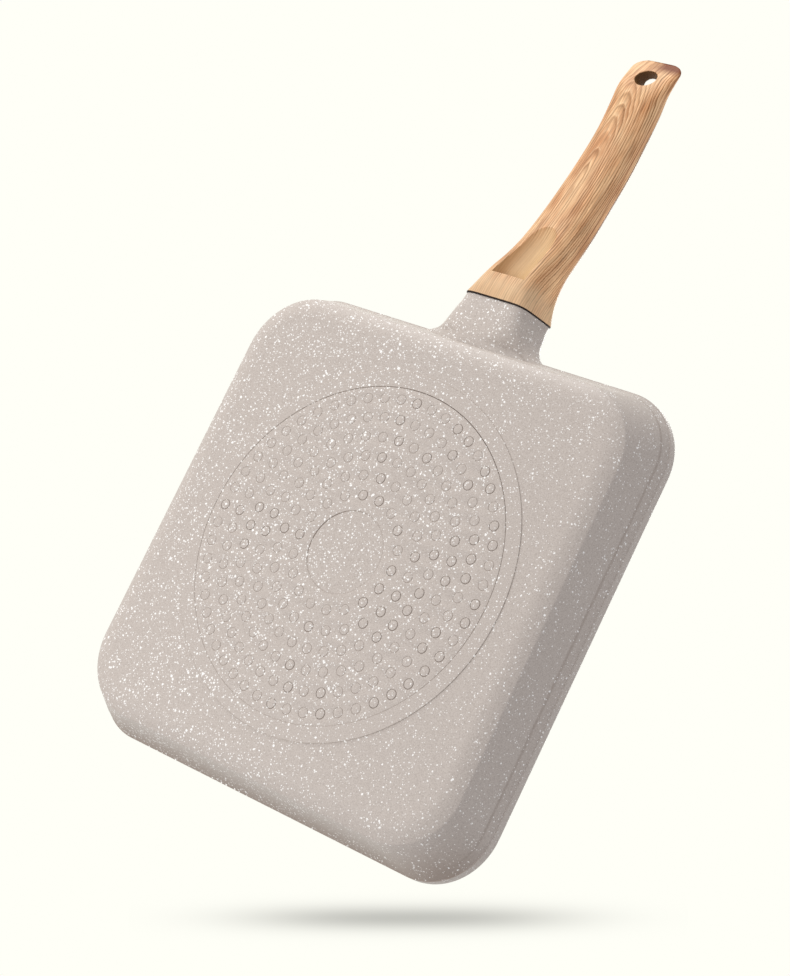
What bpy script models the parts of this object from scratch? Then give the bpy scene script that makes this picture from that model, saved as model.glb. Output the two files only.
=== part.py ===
"""Square steak grill pan: a cast body with grill ridges, a perforated base plate and a moulded grip.

Frame: the origin is the middle of the underside, +Z is up, and the handle points along +Y.
The grip starts at the joint with the neck. The long screw that holds it lies on an axis rising from there.
"""

import math

import bmesh
import bpy
from mathutils import Matrix, Vector

# Pan body, outside. Widths are across the whole square, and every size is in metres.
RIM_WIDTH = 0.280
BASE_WIDTH = 0.2662
PAN_HEIGHT = 0.0388
RIM_CORNER_RADIUS = 0.0375
BASE_CORNER_RADIUS = 0.0405
BASE_FILLET = 0.0120
RIM_OVERHANG = 0.0045
RIM_THICKNESS = 0.0034
RIM_FLARE = 0.0032
CORNER_STEPS = 9
FILLET_STEPS = 5
RIM_STEPS = 4

# Pan body, inside
WALL_THICKNESS = 0.0028
FLOOR_THICKNESS = 0.0052
WELL_FILLET = 0.0090
RIM_INNER_ROUND = 0.0012
RIDGE_PITCH = 0.0190
RIDGE_FOOT = 0.0075
RIDGE_CREST = 0.0036
RIDGE_HEIGHT = 0.0035
RIDGE_CROWN = 0.0008
RIDGE_END_CUT = 0.0022
RIDGE_END_GAP = 0.0070

# Underside: a raised round land holds the base plate in an annular pocket, flush at the bottom.
PLATE_RADIUS = 0.0965
PLATE_INNER_RADIUS = 0.0239
PLATE_THICKNESS = 0.0008
LAND_MARGIN = 0.0092
LAND_STEP = 0.0005
RING_COUNTS = (18, 24, 32, 38, 46, 52)
RING_INNER_MARGIN = 0.0091
RING_OUTER_MARGIN = 0.0067
HOLE_RADIUS = 0.0030
HOLE_SIDES = 8
CIRCLE_SIDES = 80
SMALL_CIRCLE_SIDES = 40

# Joint between neck and grip: its section's middle lies this far from the pan's centre and this high.
JOINT_DISTANCE = 0.1646
JOINT_MIDDLE = 0.0345
JOINT_HALF_WIDTH = 0.0250
JOINT_HALF_THICKNESS = 0.0148
JOINT_TAPER = 0.11
JOINT_SQUARENESS = 6.0
NECK_INSET = 0.0008
SECTION_SIDES = 28

# Neck, back from the joint: distance, half width, underside and top over the base, taper, squareness
NECK_STATIONS = (
    (0.0050, 0.0248, 0.0198, 0.0474, 0.13, 5.4),
    (0.0100, 0.0265, 0.0192, 0.0459, 0.15, 4.8),
    (0.0150, 0.0282, 0.0187, 0.0438, 0.19, 4.2),
    (0.0190, 0.0300, 0.0182, 0.0418, 0.26, 3.8),
    (0.0225, 0.0318, 0.0178, 0.0400, 0.37, 3.5),
    (0.0250, 0.0336, 0.0174, 0.0388, 0.52, 3.3),
    (0.0280, 0.0369, 0.0168, 0.0378, 0.56, 3.2),
    (0.0320, 0.0404, 0.0160, 0.0370, 0.50, 3.2),
    (0.0360, 0.0427, 0.0150, 0.0366, 0.41, 3.2),
)

# Grip: share of its length, half width, half thickness, rise over the joint's middle, taper, squareness
GRIP_LENGTH = 0.1799
GRIP_STATIONS = (
    (0.034, 0.0230, 0.0146, 0.0002, 0.11, 5.2),
    (0.073, 0.0216, 0.0140, 0.0013, 0.11, 4.5),
    (0.118, 0.0204, 0.0131, 0.0036, 0.10, 3.9),
    (0.174, 0.0187, 0.0123, 0.0080, 0.09, 3.4),
    (0.246, 0.0177, 0.0115, 0.0135, 0.07, 3.1),
    (0.347, 0.0171, 0.0109, 0.0193, 0.05, 2.9),
    (0.459, 0.0164, 0.0106, 0.0238, 0.03, 2.8),
    (0.583, 0.0158, 0.0103, 0.0279, 0.02, 2.8),
    (0.706, 0.0153, 0.0094, 0.0303, 0.00, 2.8),
    (0.818, 0.0160, 0.0079, 0.0302, 0.00, 2.8),
    (0.885, 0.0166, 0.0063, 0.0288, 0.00, 2.8),
)
TIP_CORNER_LENGTH = 0.0101
TIP_CORNER_WIDTH = 0.0130
TIP_STEPS = 7
NOSE_LENGTH = 0.0280
NOSE_RISE = 0.0120
NOSE_POWER = 2.0
TIP_TOP_DROP = 0.0006
TIP_TOP_POWER = 4.0

# Finger recess on the grip's underside, square at its end by the neck and running out along the grip
RECESS_START = 0.0159
RECESS_LENGTH = 0.0395
RECESS_HALF_WIDTH = 0.0122
RECESS_END_HALF_WIDTH = 0.0088
RECESS_END_ROUND = 0.0095
RECESS_DEPTH = 0.0045
RECESS_END_DEPTH = 0.0012
RECESS_LEAST_CLOSING = 0.2
RECESS_STEPS = 12
RECESS_SIDES = 12

# Hanging hole, an upright oval through the grip near its tip
HANG_HOLE_FROM_TIP = 0.0162
HANG_HOLE_HALF_WIDTH = 0.0069
HANG_HOLE_HALF_LENGTH = 0.0062
HANG_HOLE_SIDES = 24

# Screw and washers. The axis crosses the joint and the hanging hole this far above the middle there.
SCREW_LIFT_AT_JOINT = 0.0078
SCREW_LIFT_AT_HOLE = 0.0010
SCREW_RADIUS = 0.0020
SCREW_CLEARANCE = 0.0002
SCREW_POINT = 0.0008
SCREW_GRIP_IN_TENON = 0.0200
BORE_PAST_SCREW = 0.0020
HEAD_RADIUS = 0.0035
HEAD_HEIGHT = 0.0026
HEAD_ROUND = 0.0012
HEAD_ROUND_STEPS = 2
HEAD_SEAT_BEFORE_HOLE = 0.0140
CROSS_WIDTH = 0.0008
CROSS_LENGTH = 0.0038
CROSS_DEPTH = 0.0011
WASHER_RADIUS = 0.0039
WASHER_THICKNESS = 0.0008
SPRING_WASHER_RADIUS = 0.0036
SPRING_WASHER_THICKNESS = 0.0010
ROUND_SIDES = 16

# Tenon: the tongue of the casting that the grip's socket fits, along the screw's axis but hanging lower
TENON_WIDTH = 0.0260
TENON_THICKNESS = 0.0140
TENON_DROP = 0.0036
TENON_LENGTH = 0.0280
TENON_ROUND = 0.0030
TENON_ROOT = 0.0060
TENON_ROUND_STEPS = 3

# Seal between the neck and the grip
GASKET_THICKNESS = 0.0008
GASKET_INSET = 0.0012

# Air between touching pieces, how far a cutter runs past what it cuts, and how far joined forms sink in
GAP = 0.0003
CUT_PAST = 0.0020
FORM_OVERLAP = 0.0010

# Everything that follows from the sizes above
RIM_HALF = RIM_WIDTH / 2
BASE_HALF = BASE_WIDTH / 2
POCKET_DEPTH = PLATE_THICKNESS + GAP
LAND_RADIUS = PLATE_RADIUS + LAND_MARGIN
FIRST_RING_RADIUS = PLATE_INNER_RADIUS + RING_INNER_MARGIN
LAST_RING_RADIUS = PLATE_RADIUS - RING_OUTER_MARGIN
RING_PITCH = (LAST_RING_RADIUS - FIRST_RING_RADIUS) / (len(RING_COUNTS) - 1)
GRIP_START = 2 * GAP + GASKET_THICKNESS
HANG_HOLE_DISTANCE = GRIP_LENGTH - HANG_HOLE_FROM_TIP
SCREW_END = TENON_LENGTH - SCREW_GRIP_IN_TENON


def clear_scene():
    """Empty the file without closing it."""
    for item in list(bpy.data.objects):
        bpy.data.objects.remove(item, do_unlink=True)


def new_collection(name):
    """Make a collection under the scene."""
    group = bpy.data.collections.new(name)
    bpy.context.scene.collection.children.link(group)
    return group


def make_material(name, colour, roughness, metallic):
    """A plain Principled material."""
    material = bpy.data.materials.new(name)
    material.use_nodes = True
    shader = material.node_tree.nodes["Principled BSDF"]
    shader.inputs["Base Color"].default_value = (*colour, 1.0)
    shader.inputs["Roughness"].default_value = roughness
    shader.inputs["Metallic"].default_value = metallic
    material.diffuse_color = (*colour, 1.0)
    return material


def object_from(bm, name, group, material=None, carrier=None):
    """Turn a bmesh into a smooth-shaded object in a collection, on an empty where one is given."""
    bmesh.ops.recalc_face_normals(bm, faces=bm.faces)
    mesh = bpy.data.meshes.new(name)
    bm.to_mesh(mesh)
    bm.free()
    mesh.shade_smooth()
    mesh.set_sharp_from_angle(angle=math.radians(35.0))
    item = bpy.data.objects.new(name, mesh)
    item.parent = carrier
    group.objects.link(item)
    if material is not None:
        mesh.materials.append(material)
    return item


def boolean(item, bm, name, cutters, operation, carrier=None):
    """Cut or join with a form that stays in the cutters' collection, as a live exact Boolean."""
    cutter = object_from(bm, name, cutters, carrier=carrier)
    cutter.hide_render = True
    cutter.display_type = "WIRE"
    step = item.modifiers.new(name, "BOOLEAN")
    step.operation = operation
    step.solver = "EXACT"
    step.object = cutter
    return cutter


def marker(name, height, rise, group):
    """Empty at the joint, which carries pieces whose own Y runs out from it."""
    empty = bpy.data.objects.new(name, None)
    empty.empty_display_size = 0.02
    empty.location = (0.0, JOINT_DISTANCE, height)
    empty.rotation_euler = (rise, 0.0, 0.0)
    group.objects.link(empty)
    return empty


def loft(rings):
    """Closed solid through rings of equally many points, capped at both ends."""
    bm = bmesh.new()
    loops = [[bm.verts.new(point) for point in ring] for ring in rings]
    for lower, upper in zip(loops, loops[1:]):
        for index in range(len(lower)):
            after = (index + 1) % len(lower)
            bm.faces.new((lower[index], lower[after], upper[after], upper[index]))
    bm.faces.new(loops[0])
    bm.faces.new(loops[-1])
    return bm


def disc(radius, bottom, top, sides):
    """Cylinder along Z from bottom to top, with a corner at +X."""
    bm = bmesh.new()
    depth = top - bottom
    bmesh.ops.create_cone(bm, cap_ends=True, segments=sides, radius1=radius, radius2=radius, depth=depth)
    bmesh.ops.translate(bm, verts=bm.verts, vec=(0.0, 0.0, (bottom + top) / 2))
    return bm


def rod(radius, start, end):
    """Cylinder along Y from start to end."""
    bm = disc(radius, start, end, ROUND_SIDES)
    bmesh.ops.transform(bm, verts=bm.verts, matrix=Matrix.Rotation(-math.pi / 2, 4, "X"))
    return bm


def rounded_square(half, radius, height):
    """Ring of points round a square with round corners, level at one height."""
    centre = half - radius
    ring = []
    for quarter in range(4):
        turn = Matrix.Rotation(math.pi / 2 * quarter, 3, "Z")
        for step in range(CORNER_STEPS + 1):
            angle = math.pi / 2 * step / CORNER_STEPS
            point = Vector((centre + radius * math.cos(angle), centre + radius * math.sin(angle), height))
            ring.append(turn @ point)
    return ring


def base_ring(inset, height):
    """Ring set in from the wall just above the base fillet, with the corners kept parallel."""
    return rounded_square(BASE_HALF - inset, BASE_CORNER_RADIUS - inset, height)


def rim_ring(inset, height):
    """Ring set in from the rim's outer edge, with the corners kept parallel."""
    return rounded_square(RIM_HALF - inset, RIM_CORNER_RADIUS - inset, height)


def outer_form():
    """The outside of the casting as one solid: base fillet, drafted wall, flare and the rim's edge."""
    rings = []
    for step in range(FILLET_STEPS + 1):
        angle = math.pi / 2 * step / FILLET_STEPS
        height = LAND_STEP + BASE_FILLET * (1 - math.cos(angle))
        rings.append(base_ring(BASE_FILLET * (1 - math.sin(angle)), height))
    flare_start = PAN_HEIGHT - RIM_THICKNESS - RIM_FLARE
    for step in range(RIM_STEPS):
        angle = math.pi / 2 * step / (RIM_STEPS - 1)
        inset = RIM_OVERHANG - RIM_FLARE * (1 - math.cos(angle))
        rings.append(rim_ring(inset, flare_start + RIM_FLARE * math.sin(angle)))
    edge = RIM_THICKNESS / 2
    for step in range(RIM_STEPS + 1):
        angle = math.pi * step / RIM_STEPS - math.pi / 2
        rings.append(rim_ring(edge * (1 - math.cos(angle)), PAN_HEIGHT - edge + edge * math.sin(angle)))
    return loft(rings)


def well_form():
    """The room inside the pan, cut out of the casting: floor, fillet, drafted wall and a rounded lip."""
    rings = []
    for step in range(FILLET_STEPS):
        angle = math.pi / 2 * step / (FILLET_STEPS - 1)
        inset = WALL_THICKNESS + WELL_FILLET * (1 - math.sin(angle))
        rings.append(base_ring(inset, FLOOR_THICKNESS + WELL_FILLET * (1 - math.cos(angle))))
    wall_inset = RIM_OVERHANG + WALL_THICKNESS
    for angle in (0.0, math.pi / 4, math.pi / 2):
        inset = wall_inset - RIM_INNER_ROUND * (1 - math.cos(angle))
        rings.append(rim_ring(inset, PAN_HEIGHT - RIM_INNER_ROUND * (1 - math.sin(angle))))
    rings.append(rim_ring(wall_inset - RIM_INNER_ROUND, PAN_HEIGHT + CUT_PAST))
    return loft(rings)


def ridge_field():
    """Half width of the square field that the ridges fill, and the radius of its corners."""
    inset = WALL_THICKNESS + WELL_FILLET + RIDGE_END_GAP
    return BASE_HALF - inset, max(BASE_CORNER_RADIUS - inset, RIDGE_END_CUT)


def ridge_offsets():
    """Distance of each ridge from the middle, for as many ridges as the field takes at their pitch."""
    half = ridge_field()[0]
    count = 1 + math.floor((2 * half - RIDGE_FOOT) / RIDGE_PITCH)
    return [(index - (count - 1) / 2) * RIDGE_PITCH for index in range(count)]


def ridge_form(offset):
    """One grill ridge: a long bar with sloping sides and a blunt crest, sunk a little into the floor."""
    half, radius = ridge_field()
    past = max(0.0, abs(offset) + RIDGE_FOOT / 2 - (half - radius))
    half_length = half - radius + math.sqrt(radius ** 2 - past ** 2)
    slope = (RIDGE_FOOT - RIDGE_CREST) / 2
    top = FLOOR_THICKNESS + RIDGE_HEIGHT
    levels = (
        (FLOOR_THICKNESS - FORM_OVERLAP, 0.0),
        (FLOOR_THICKNESS, 0.0),
        (top - RIDGE_CROWN, slope - RIDGE_CROWN),
        (top, slope),
    )
    rings = []
    for height, inset in levels:
        x = RIDGE_FOOT / 2 - inset
        y = half_length - inset
        cut = min(x, RIDGE_END_CUT)
        quarter = ((x, y - cut), (x - cut, y))
        corners = list(quarter)
        corners += [(-a, b) for a, b in reversed(quarter)]
        corners += [(-a, -b) for a, b in quarter]
        corners += [(a, -b) for a, b in reversed(quarter)]
        rings.append([Vector((offset + a, b, height)) for a, b in corners])
    return loft(rings)


def section(half_width, underside, top, distance, taper, squareness):
    """Upright ring at a distance from the joint, wider above its middle by the taper.

    It is a superellipse: a squareness of 2 is an ellipse, and a higher one comes closer to a rectangle.
    """
    middle = (top + underside) / 2
    half_height = (top - underside) / 2
    ring = []
    for index in range(SECTION_SIDES):
        angle = 2 * math.pi * index / SECTION_SIDES
        across = math.copysign(abs(math.cos(angle)) ** (2 / squareness), math.cos(angle))
        up = math.copysign(abs(math.sin(angle)) ** (2 / squareness), math.sin(angle))
        ring.append(Vector((half_width * across * (1 + taper * up), distance, middle + half_height * up)))
    return ring


def smooth_between(stations, place):
    """Values at a place along the stations, on a smooth curve through them."""
    index = 0
    while index < len(stations) - 2 and stations[index + 1][0] < place:
        index += 1
    left = stations[index]
    right = stations[index + 1]
    before = stations[max(index - 1, 0)]
    after = stations[min(index + 2, len(stations) - 1)]
    span = right[0] - left[0]
    t = (place - left[0]) / span
    values = []
    for k in range(1, len(left)):
        slope_left = (right[k] - before[k]) / (right[0] - before[0]) * span
        slope_right = (after[k] - left[k]) / (after[0] - left[0]) * span
        values.append(
            (2 * t ** 3 - 3 * t ** 2 + 1) * left[k]
            + (t ** 3 - 2 * t ** 2 + t) * slope_left
            + (3 * t ** 2 - 2 * t ** 3) * right[k]
            + (t ** 3 - t ** 2) * slope_right
        )
    return values


def joint_section(inset, distance):
    """The joint's section set in on every side, measured from the joint's middle."""
    half_width = JOINT_HALF_WIDTH - inset
    half_height = JOINT_HALF_THICKNESS - inset
    return section(half_width, -half_height, half_height, distance, JOINT_TAPER, JOINT_SQUARENESS)


def neck_form():
    """The neck from the joint back into the pan's wall, spreading under the rim where it meets the wall."""
    rings = [joint_section(NECK_INSET, 0.0)]
    for before, half_width, underside, top, taper, squareness in NECK_STATIONS:
        low = underside - JOINT_MIDDLE
        rings.append(section(half_width, low, top - JOINT_MIDDLE, -before, taper, squareness))
    return loft(rings)


def tenon_form(start, end, grow):
    """Bar along the screw's axis with round edges: the tenon, or with some growth the socket round it."""
    radius = TENON_ROUND + grow
    centre_x = TENON_WIDTH / 2 - TENON_ROUND
    centre_z = TENON_THICKNESS / 2 - TENON_ROUND
    rings = []
    for distance in (start, end):
        ring = []
        for quarter, (side, level) in enumerate(((1, 1), (-1, 1), (-1, -1), (1, -1))):
            for step in range(TENON_ROUND_STEPS + 1):
                angle = math.pi / 2 * (quarter + step / TENON_ROUND_STEPS)
                x = side * centre_x + radius * math.cos(angle)
                z = level * centre_z + radius * math.sin(angle)
                ring.append(Vector((x, distance, z - TENON_DROP)))
        rings.append(ring)
    return loft(rings)


def grip_size(distance):
    """Half width, half thickness, rise of the middle, taper and squareness of the grip at one distance."""
    joint = (0.0, JOINT_HALF_WIDTH, JOINT_HALF_THICKNESS, 0.0, JOINT_TAPER, JOINT_SQUARENESS)
    share = min(distance / GRIP_LENGTH, GRIP_STATIONS[-1][0])
    return smooth_between((joint,) + GRIP_STATIONS, share)


def grip_form():
    """The grip from the joint to its tip, whose corners are round and whose underside lifts into a nose."""
    last = GRIP_STATIONS[-1][0] * GRIP_LENGTH
    marks = [GRIP_START] + [station[0] * GRIP_LENGTH for station in GRIP_STATIONS]
    distances = marks[:1]
    for left, right in zip(marks, marks[1:]):
        distances += [(left + right) / 2, right]
    for step in range(1, TIP_STEPS + 1):
        distances.append(last + (GRIP_LENGTH - last) * math.sin(math.pi / 2 * step / TIP_STEPS))
    rings = []
    for distance in distances:
        half_width, half_thickness, middle, taper, squareness = grip_size(distance)
        into_corner = max(0.0, distance - GRIP_LENGTH + TIP_CORNER_LENGTH) / TIP_CORNER_LENGTH
        into_nose = max(0.0, distance - GRIP_LENGTH + NOSE_LENGTH) / NOSE_LENGTH
        half_width -= TIP_CORNER_WIDTH * (1 - math.sqrt(1 - min(into_corner, 1.0) ** 2))
        underside = middle - half_thickness + NOSE_RISE * into_nose ** NOSE_POWER
        top = middle + half_thickness - TIP_TOP_DROP * into_corner ** TIP_TOP_POWER
        rings.append(section(half_width, underside, top, distance, taper, squareness))
    return loft(rings)


def recess_form():
    """Scoop for a finger, cut from below: deepest at its square end by the neck, with a round end far out."""
    rings = []
    for step in range(RECESS_STEPS + 1):
        share = math.sin(math.pi / 2 * step / RECESS_STEPS)
        half_thickness, middle = grip_size(RECESS_START + RECESS_LENGTH * share)[1:3]
        surface = middle - half_thickness
        into_round = max(0.0, 1 - (1 - share) * RECESS_LENGTH / RECESS_END_ROUND)
        closing = math.sqrt(1 - into_round ** 2)
        half_width = RECESS_HALF_WIDTH + (RECESS_END_HALF_WIDTH - RECESS_HALF_WIDTH) * share
        half_width *= max(closing, RECESS_LEAST_CLOSING)
        depth = RECESS_DEPTH + (RECESS_END_DEPTH - RECESS_DEPTH) * share
        depth = (depth + GAP) * closing - GAP
        below = surface - 2 * RECESS_DEPTH
        ring = []
        for index in range(RECESS_SIDES + 1):
            angle = math.pi * index / RECESS_SIDES
            across = math.copysign(math.sqrt(abs(math.cos(angle))), math.cos(angle))
            height = surface - FORM_OVERLAP + (depth + FORM_OVERLAP) * math.sin(angle)
            ring.append(Vector((half_width * across, RECESS_START + RECESS_LENGTH * share, height)))
        ring.append(Vector((-half_width, RECESS_START + RECESS_LENGTH * share, below)))
        ring.append(Vector((half_width, RECESS_START + RECESS_LENGTH * share, below)))
        rings.append(ring)
    return loft(rings)


def hang_hole_form():
    """Upright oval bar through the grip near its tip."""
    bm = disc(1.0, 0.0, JOINT_MIDDLE + PAN_HEIGHT, HANG_HOLE_SIDES)
    oval = Matrix.Diagonal((HANG_HOLE_HALF_WIDTH, HANG_HOLE_HALF_LENGTH, 1.0, 1.0))
    place = Matrix.Translation((0.0, HANG_HOLE_DISTANCE, 0.0))
    bmesh.ops.transform(bm, verts=bm.verts, matrix=place @ oval)
    return bm


def screw_rise():
    """Angle of the screw's axis, from its height at the joint to its height at the hanging hole."""
    middle = grip_size(HANG_HOLE_DISTANCE)[2]
    return math.atan2(middle + SCREW_LIFT_AT_HOLE - SCREW_LIFT_AT_JOINT, HANG_HOLE_DISTANCE)


def head_seat():
    """Distance along the screw's axis from the joint to the seat of the washers."""
    return (HANG_HOLE_DISTANCE - HANG_HOLE_HALF_LENGTH) / math.cos(screw_rise()) - HEAD_SEAT_BEFORE_HOLE


def build_pan_body(parts, cutters, joint, axis, material):
    """The casting: outer form, neck, tenon, then the well, the land and its pocket, the ridges, the bore."""
    body = object_from(outer_form(), "pan_body", parts, material)
    boolean(body, neck_form(), "neck_form", cutters, "UNION", joint)
    boolean(body, tenon_form(-TENON_ROOT, TENON_LENGTH, 0.0), "tenon_form", cutters, "UNION", axis)
    boolean(body, well_form(), "well_form", cutters, "DIFFERENCE")
    land = disc(LAND_RADIUS, 0.0, LAND_STEP + FORM_OVERLAP, CIRCLE_SIDES)
    boolean(body, land, "land_form", cutters, "UNION")
    pocket = disc(PLATE_RADIUS + GAP, -CUT_PAST, POCKET_DEPTH, CIRCLE_SIDES)
    island = disc(PLATE_INNER_RADIUS - GAP, -2 * CUT_PAST, POCKET_DEPTH + CUT_PAST, SMALL_CIRCLE_SIDES)
    pocket_form = boolean(body, pocket, "pocket_form", cutters, "DIFFERENCE")
    boolean(pocket_form, island, "island_form", cutters, "DIFFERENCE")
    for index, offset in enumerate(ridge_offsets()):
        boolean(body, ridge_form(offset), f"ridge_form_{index + 1}", cutters, "UNION")
    bore = rod(SCREW_RADIUS + GAP, SCREW_END - BORE_PAST_SCREW, TENON_LENGTH + CUT_PAST)
    boolean(body, bore, "tenon_bore_form", cutters, "DIFFERENCE", axis)
    return body


def add_to(bm, other):
    """Copy one bmesh into another and free it."""
    copy = bpy.data.meshes.new("copy")
    other.to_mesh(copy)
    other.free()
    bm.from_mesh(copy)
    bpy.data.meshes.remove(copy)


def plate_openings():
    """The base plate's holes: rings of small ones, every other ring turned half a step, and a large one."""
    bm = disc(PLATE_INNER_RADIUS, -CUT_PAST, PLATE_THICKNESS + CUT_PAST, SMALL_CIRCLE_SIDES)
    for ring, count in enumerate(RING_COUNTS):
        radius = FIRST_RING_RADIUS + RING_PITCH * ring
        half_step = (ring + 1) % 2 / 2
        for index in range(count):
            hole = disc(HOLE_RADIUS, -CUT_PAST, PLATE_THICKNESS + CUT_PAST, HOLE_SIDES)
            out = Matrix.Translation((0.0, radius, 0.0))
            turn = Matrix.Rotation(2 * math.pi * (index + half_step) / count, 4, "Z")
            bmesh.ops.transform(hole, verts=hole.verts, matrix=turn @ out)
            add_to(bm, hole)
    return bm


def build_induction_plate(parts, cutters, material):
    """Annular steel plate with rings of round holes, flush with the land round it."""
    blank = disc(PLATE_RADIUS, 0.0, PLATE_THICKNESS, CIRCLE_SIDES)
    plate = object_from(blank, "induction_plate", parts, material)
    boolean(plate, plate_openings(), "plate_openings_form", cutters, "DIFFERENCE")
    return plate


def build_neck_gasket(parts, cutters, joint, axis, material):
    """Thin seal between the neck and the grip, set in a little and open round the tenon."""
    rings = [joint_section(GASKET_INSET, GAP), joint_section(GASKET_INSET, GAP + GASKET_THICKNESS)]
    gasket = object_from(loft(rings), "neck_gasket", parts, material, joint)
    window = tenon_form(-TENON_ROOT, TENON_ROOT, GAP)
    boolean(gasket, window, "gasket_window_form", cutters, "DIFFERENCE", axis)
    return gasket


def build_handle_grip(parts, cutters, joint, axis, material):
    """The moulded grip: lofted body, finger recess, socket for the tenon, screw bore and hanging hole."""
    grip = object_from(grip_form(), "handle_grip", parts, material, joint)
    boolean(grip, recess_form(), "recess_form", cutters, "DIFFERENCE", joint)
    socket = tenon_form(-TENON_ROOT, TENON_LENGTH + GAP, GAP)
    boolean(grip, socket, "socket_form", cutters, "DIFFERENCE", axis)
    boolean(grip, hang_hole_form(), "hang_hole_form", cutters, "DIFFERENCE", joint)
    bore = rod(SCREW_RADIUS + SCREW_CLEARANCE, TENON_LENGTH - CUT_PAST, head_seat() + CUT_PAST)
    boolean(grip, bore, "screw_bore_form", cutters, "DIFFERENCE", axis)
    counterbore = rod(WASHER_RADIUS + GAP, head_seat(), HANG_HOLE_DISTANCE / math.cos(screw_rise()))
    boolean(grip, counterbore, "counterbore_form", cutters, "DIFFERENCE", axis)
    return grip


def build_washer(name, radius, thickness, start, parts, cutters, axis, material):
    """Ring on the screw, under its head."""
    washer = object_from(rod(radius, start, start + thickness), name, parts, material, axis)
    bore = rod(SCREW_RADIUS + GAP, start - CUT_PAST, start + thickness + CUT_PAST)
    boolean(washer, bore, f"{name}_bore_form", cutters, "DIFFERENCE", axis)
    return washer


def build_handle_screw(head_start, parts, cutters, axis, material):
    """Long screw with a rounded head and a cross recess, turned from its profile."""
    head_top = head_start + HEAD_HEIGHT
    profile = [(0.0, head_top)]
    for step in range(HEAD_ROUND_STEPS + 1):
        angle = math.pi / 2 * step / HEAD_ROUND_STEPS
        radius = HEAD_RADIUS - HEAD_ROUND * (1 - math.sin(angle))
        profile.append((radius, head_top - HEAD_ROUND * (1 - math.cos(angle))))
    profile += [
        (HEAD_RADIUS, head_start),
        (SCREW_RADIUS, head_start),
        (SCREW_RADIUS, SCREW_END + SCREW_POINT),
        (SCREW_RADIUS - SCREW_POINT, SCREW_END),
        (0.0, SCREW_END),
    ]
    bm = bmesh.new()
    points = [bm.verts.new((radius, 0.0, height)) for radius, height in profile]
    for upper, lower in zip(points, points[1:]):
        bm.edges.new((upper, lower))
    screw = object_from(bm, "handle_screw", parts, material, axis)
    screw.rotation_euler = (-math.pi / 2, 0.0, 0.0)
    turned = screw.modifiers.new("turned", "SCREW")
    turned.angle = 2 * math.pi
    turned.steps = ROUND_SIDES
    turned.render_steps = ROUND_SIDES
    turned.use_merge_vertices = True
    turned.merge_threshold = 0.0001
    for index in range(2):
        slot = bmesh.new()
        bmesh.ops.create_cube(slot, size=1.0)
        shape = Matrix.Diagonal((CROSS_LENGTH, 2 * CROSS_DEPTH, CROSS_WIDTH, 1.0))
        turn = Matrix.Rotation(math.pi / 2 * index, 4, "Y")
        place = Matrix.Translation((0.0, head_top, 0.0))
        bmesh.ops.transform(slot, verts=slot.verts, matrix=place @ turn @ shape)
        boolean(screw, slot, f"cross_recess_form_{index + 1}", cutters, "DIFFERENCE", axis)
    return screw


def main():
    """Build the whole pan."""
    clear_scene()
    parts = new_collection("steak_grill_pan")
    cutters = new_collection("cutters")
    coated = make_material("stone_coated_aluminium", (0.60, 0.54, 0.50), 0.5, 0.0)
    steel = make_material("coated_base_steel", (0.55, 0.49, 0.45), 0.5, 0.0)
    wood = make_material("wood_effect_phenolic", (0.55, 0.33, 0.17), 0.45, 0.0)
    rubber = make_material("dark_silicone", (0.03, 0.03, 0.03), 0.7, 0.0)
    zinc = make_material("zinc_plated_steel", (0.60, 0.60, 0.62), 0.3, 1.0)
    joint = marker("grip_joint", JOINT_MIDDLE, 0.0, parts)
    axis = marker("screw_axis", JOINT_MIDDLE + SCREW_LIFT_AT_JOINT, screw_rise(), parts)
    build_pan_body(parts, cutters, joint, axis, coated)
    build_induction_plate(parts, cutters, steel)
    build_neck_gasket(parts, cutters, joint, axis, rubber)
    build_handle_grip(parts, cutters, joint, axis, wood)
    start = head_seat() + GAP
    build_washer("flat_washer", WASHER_RADIUS, WASHER_THICKNESS, start, parts, cutters, axis, zinc)
    start += WASHER_THICKNESS + GAP
    size = (SPRING_WASHER_RADIUS, SPRING_WASHER_THICKNESS)
    build_washer("spring_washer", *size, start, parts, cutters, axis, zinc)
    start += SPRING_WASHER_THICKNESS + GAP
    build_handle_screw(start, parts, cutters, axis, zinc)
    bpy.context.view_layer.update()


main()
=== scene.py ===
"""Square steak grill pan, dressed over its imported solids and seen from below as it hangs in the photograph."""

from math import atan2, cos, exp, hypot, pi, radians, remainder, sin, sqrt, tan

import bmesh
import bpy
import numpy as np
from mathutils import Matrix, Vector


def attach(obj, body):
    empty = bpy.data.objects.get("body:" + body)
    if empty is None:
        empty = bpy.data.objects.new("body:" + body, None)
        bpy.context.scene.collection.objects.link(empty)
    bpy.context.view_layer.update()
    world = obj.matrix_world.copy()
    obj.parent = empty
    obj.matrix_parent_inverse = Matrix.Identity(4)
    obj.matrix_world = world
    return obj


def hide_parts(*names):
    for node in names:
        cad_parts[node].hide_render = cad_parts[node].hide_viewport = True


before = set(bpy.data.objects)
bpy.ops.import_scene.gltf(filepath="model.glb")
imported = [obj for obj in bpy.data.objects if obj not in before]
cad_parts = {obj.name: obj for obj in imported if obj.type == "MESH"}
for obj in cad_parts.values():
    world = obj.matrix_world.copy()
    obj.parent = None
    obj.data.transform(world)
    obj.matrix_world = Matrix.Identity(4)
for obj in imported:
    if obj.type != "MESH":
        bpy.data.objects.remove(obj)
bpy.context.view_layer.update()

# The casting: one piece of die-cast aluminium with its walls, rim, neck and tenon, the grill ridges and a round
# land under the base. It is turned and drilled after casting, blasted, and sprayed all over with a stone-look
# non-stick coating.
RIM_HALF = 0.1400
RIM_CORNER = 0.0375
RIM_ROUND = 0.0017
RIM_LIP_ROUND = 0.0012
RIM_BAND_BOTTOM = 0.0318
RIM_BAND_ROUND = 0.0006
WALL_TOP_INSET = 0.00295
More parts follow.
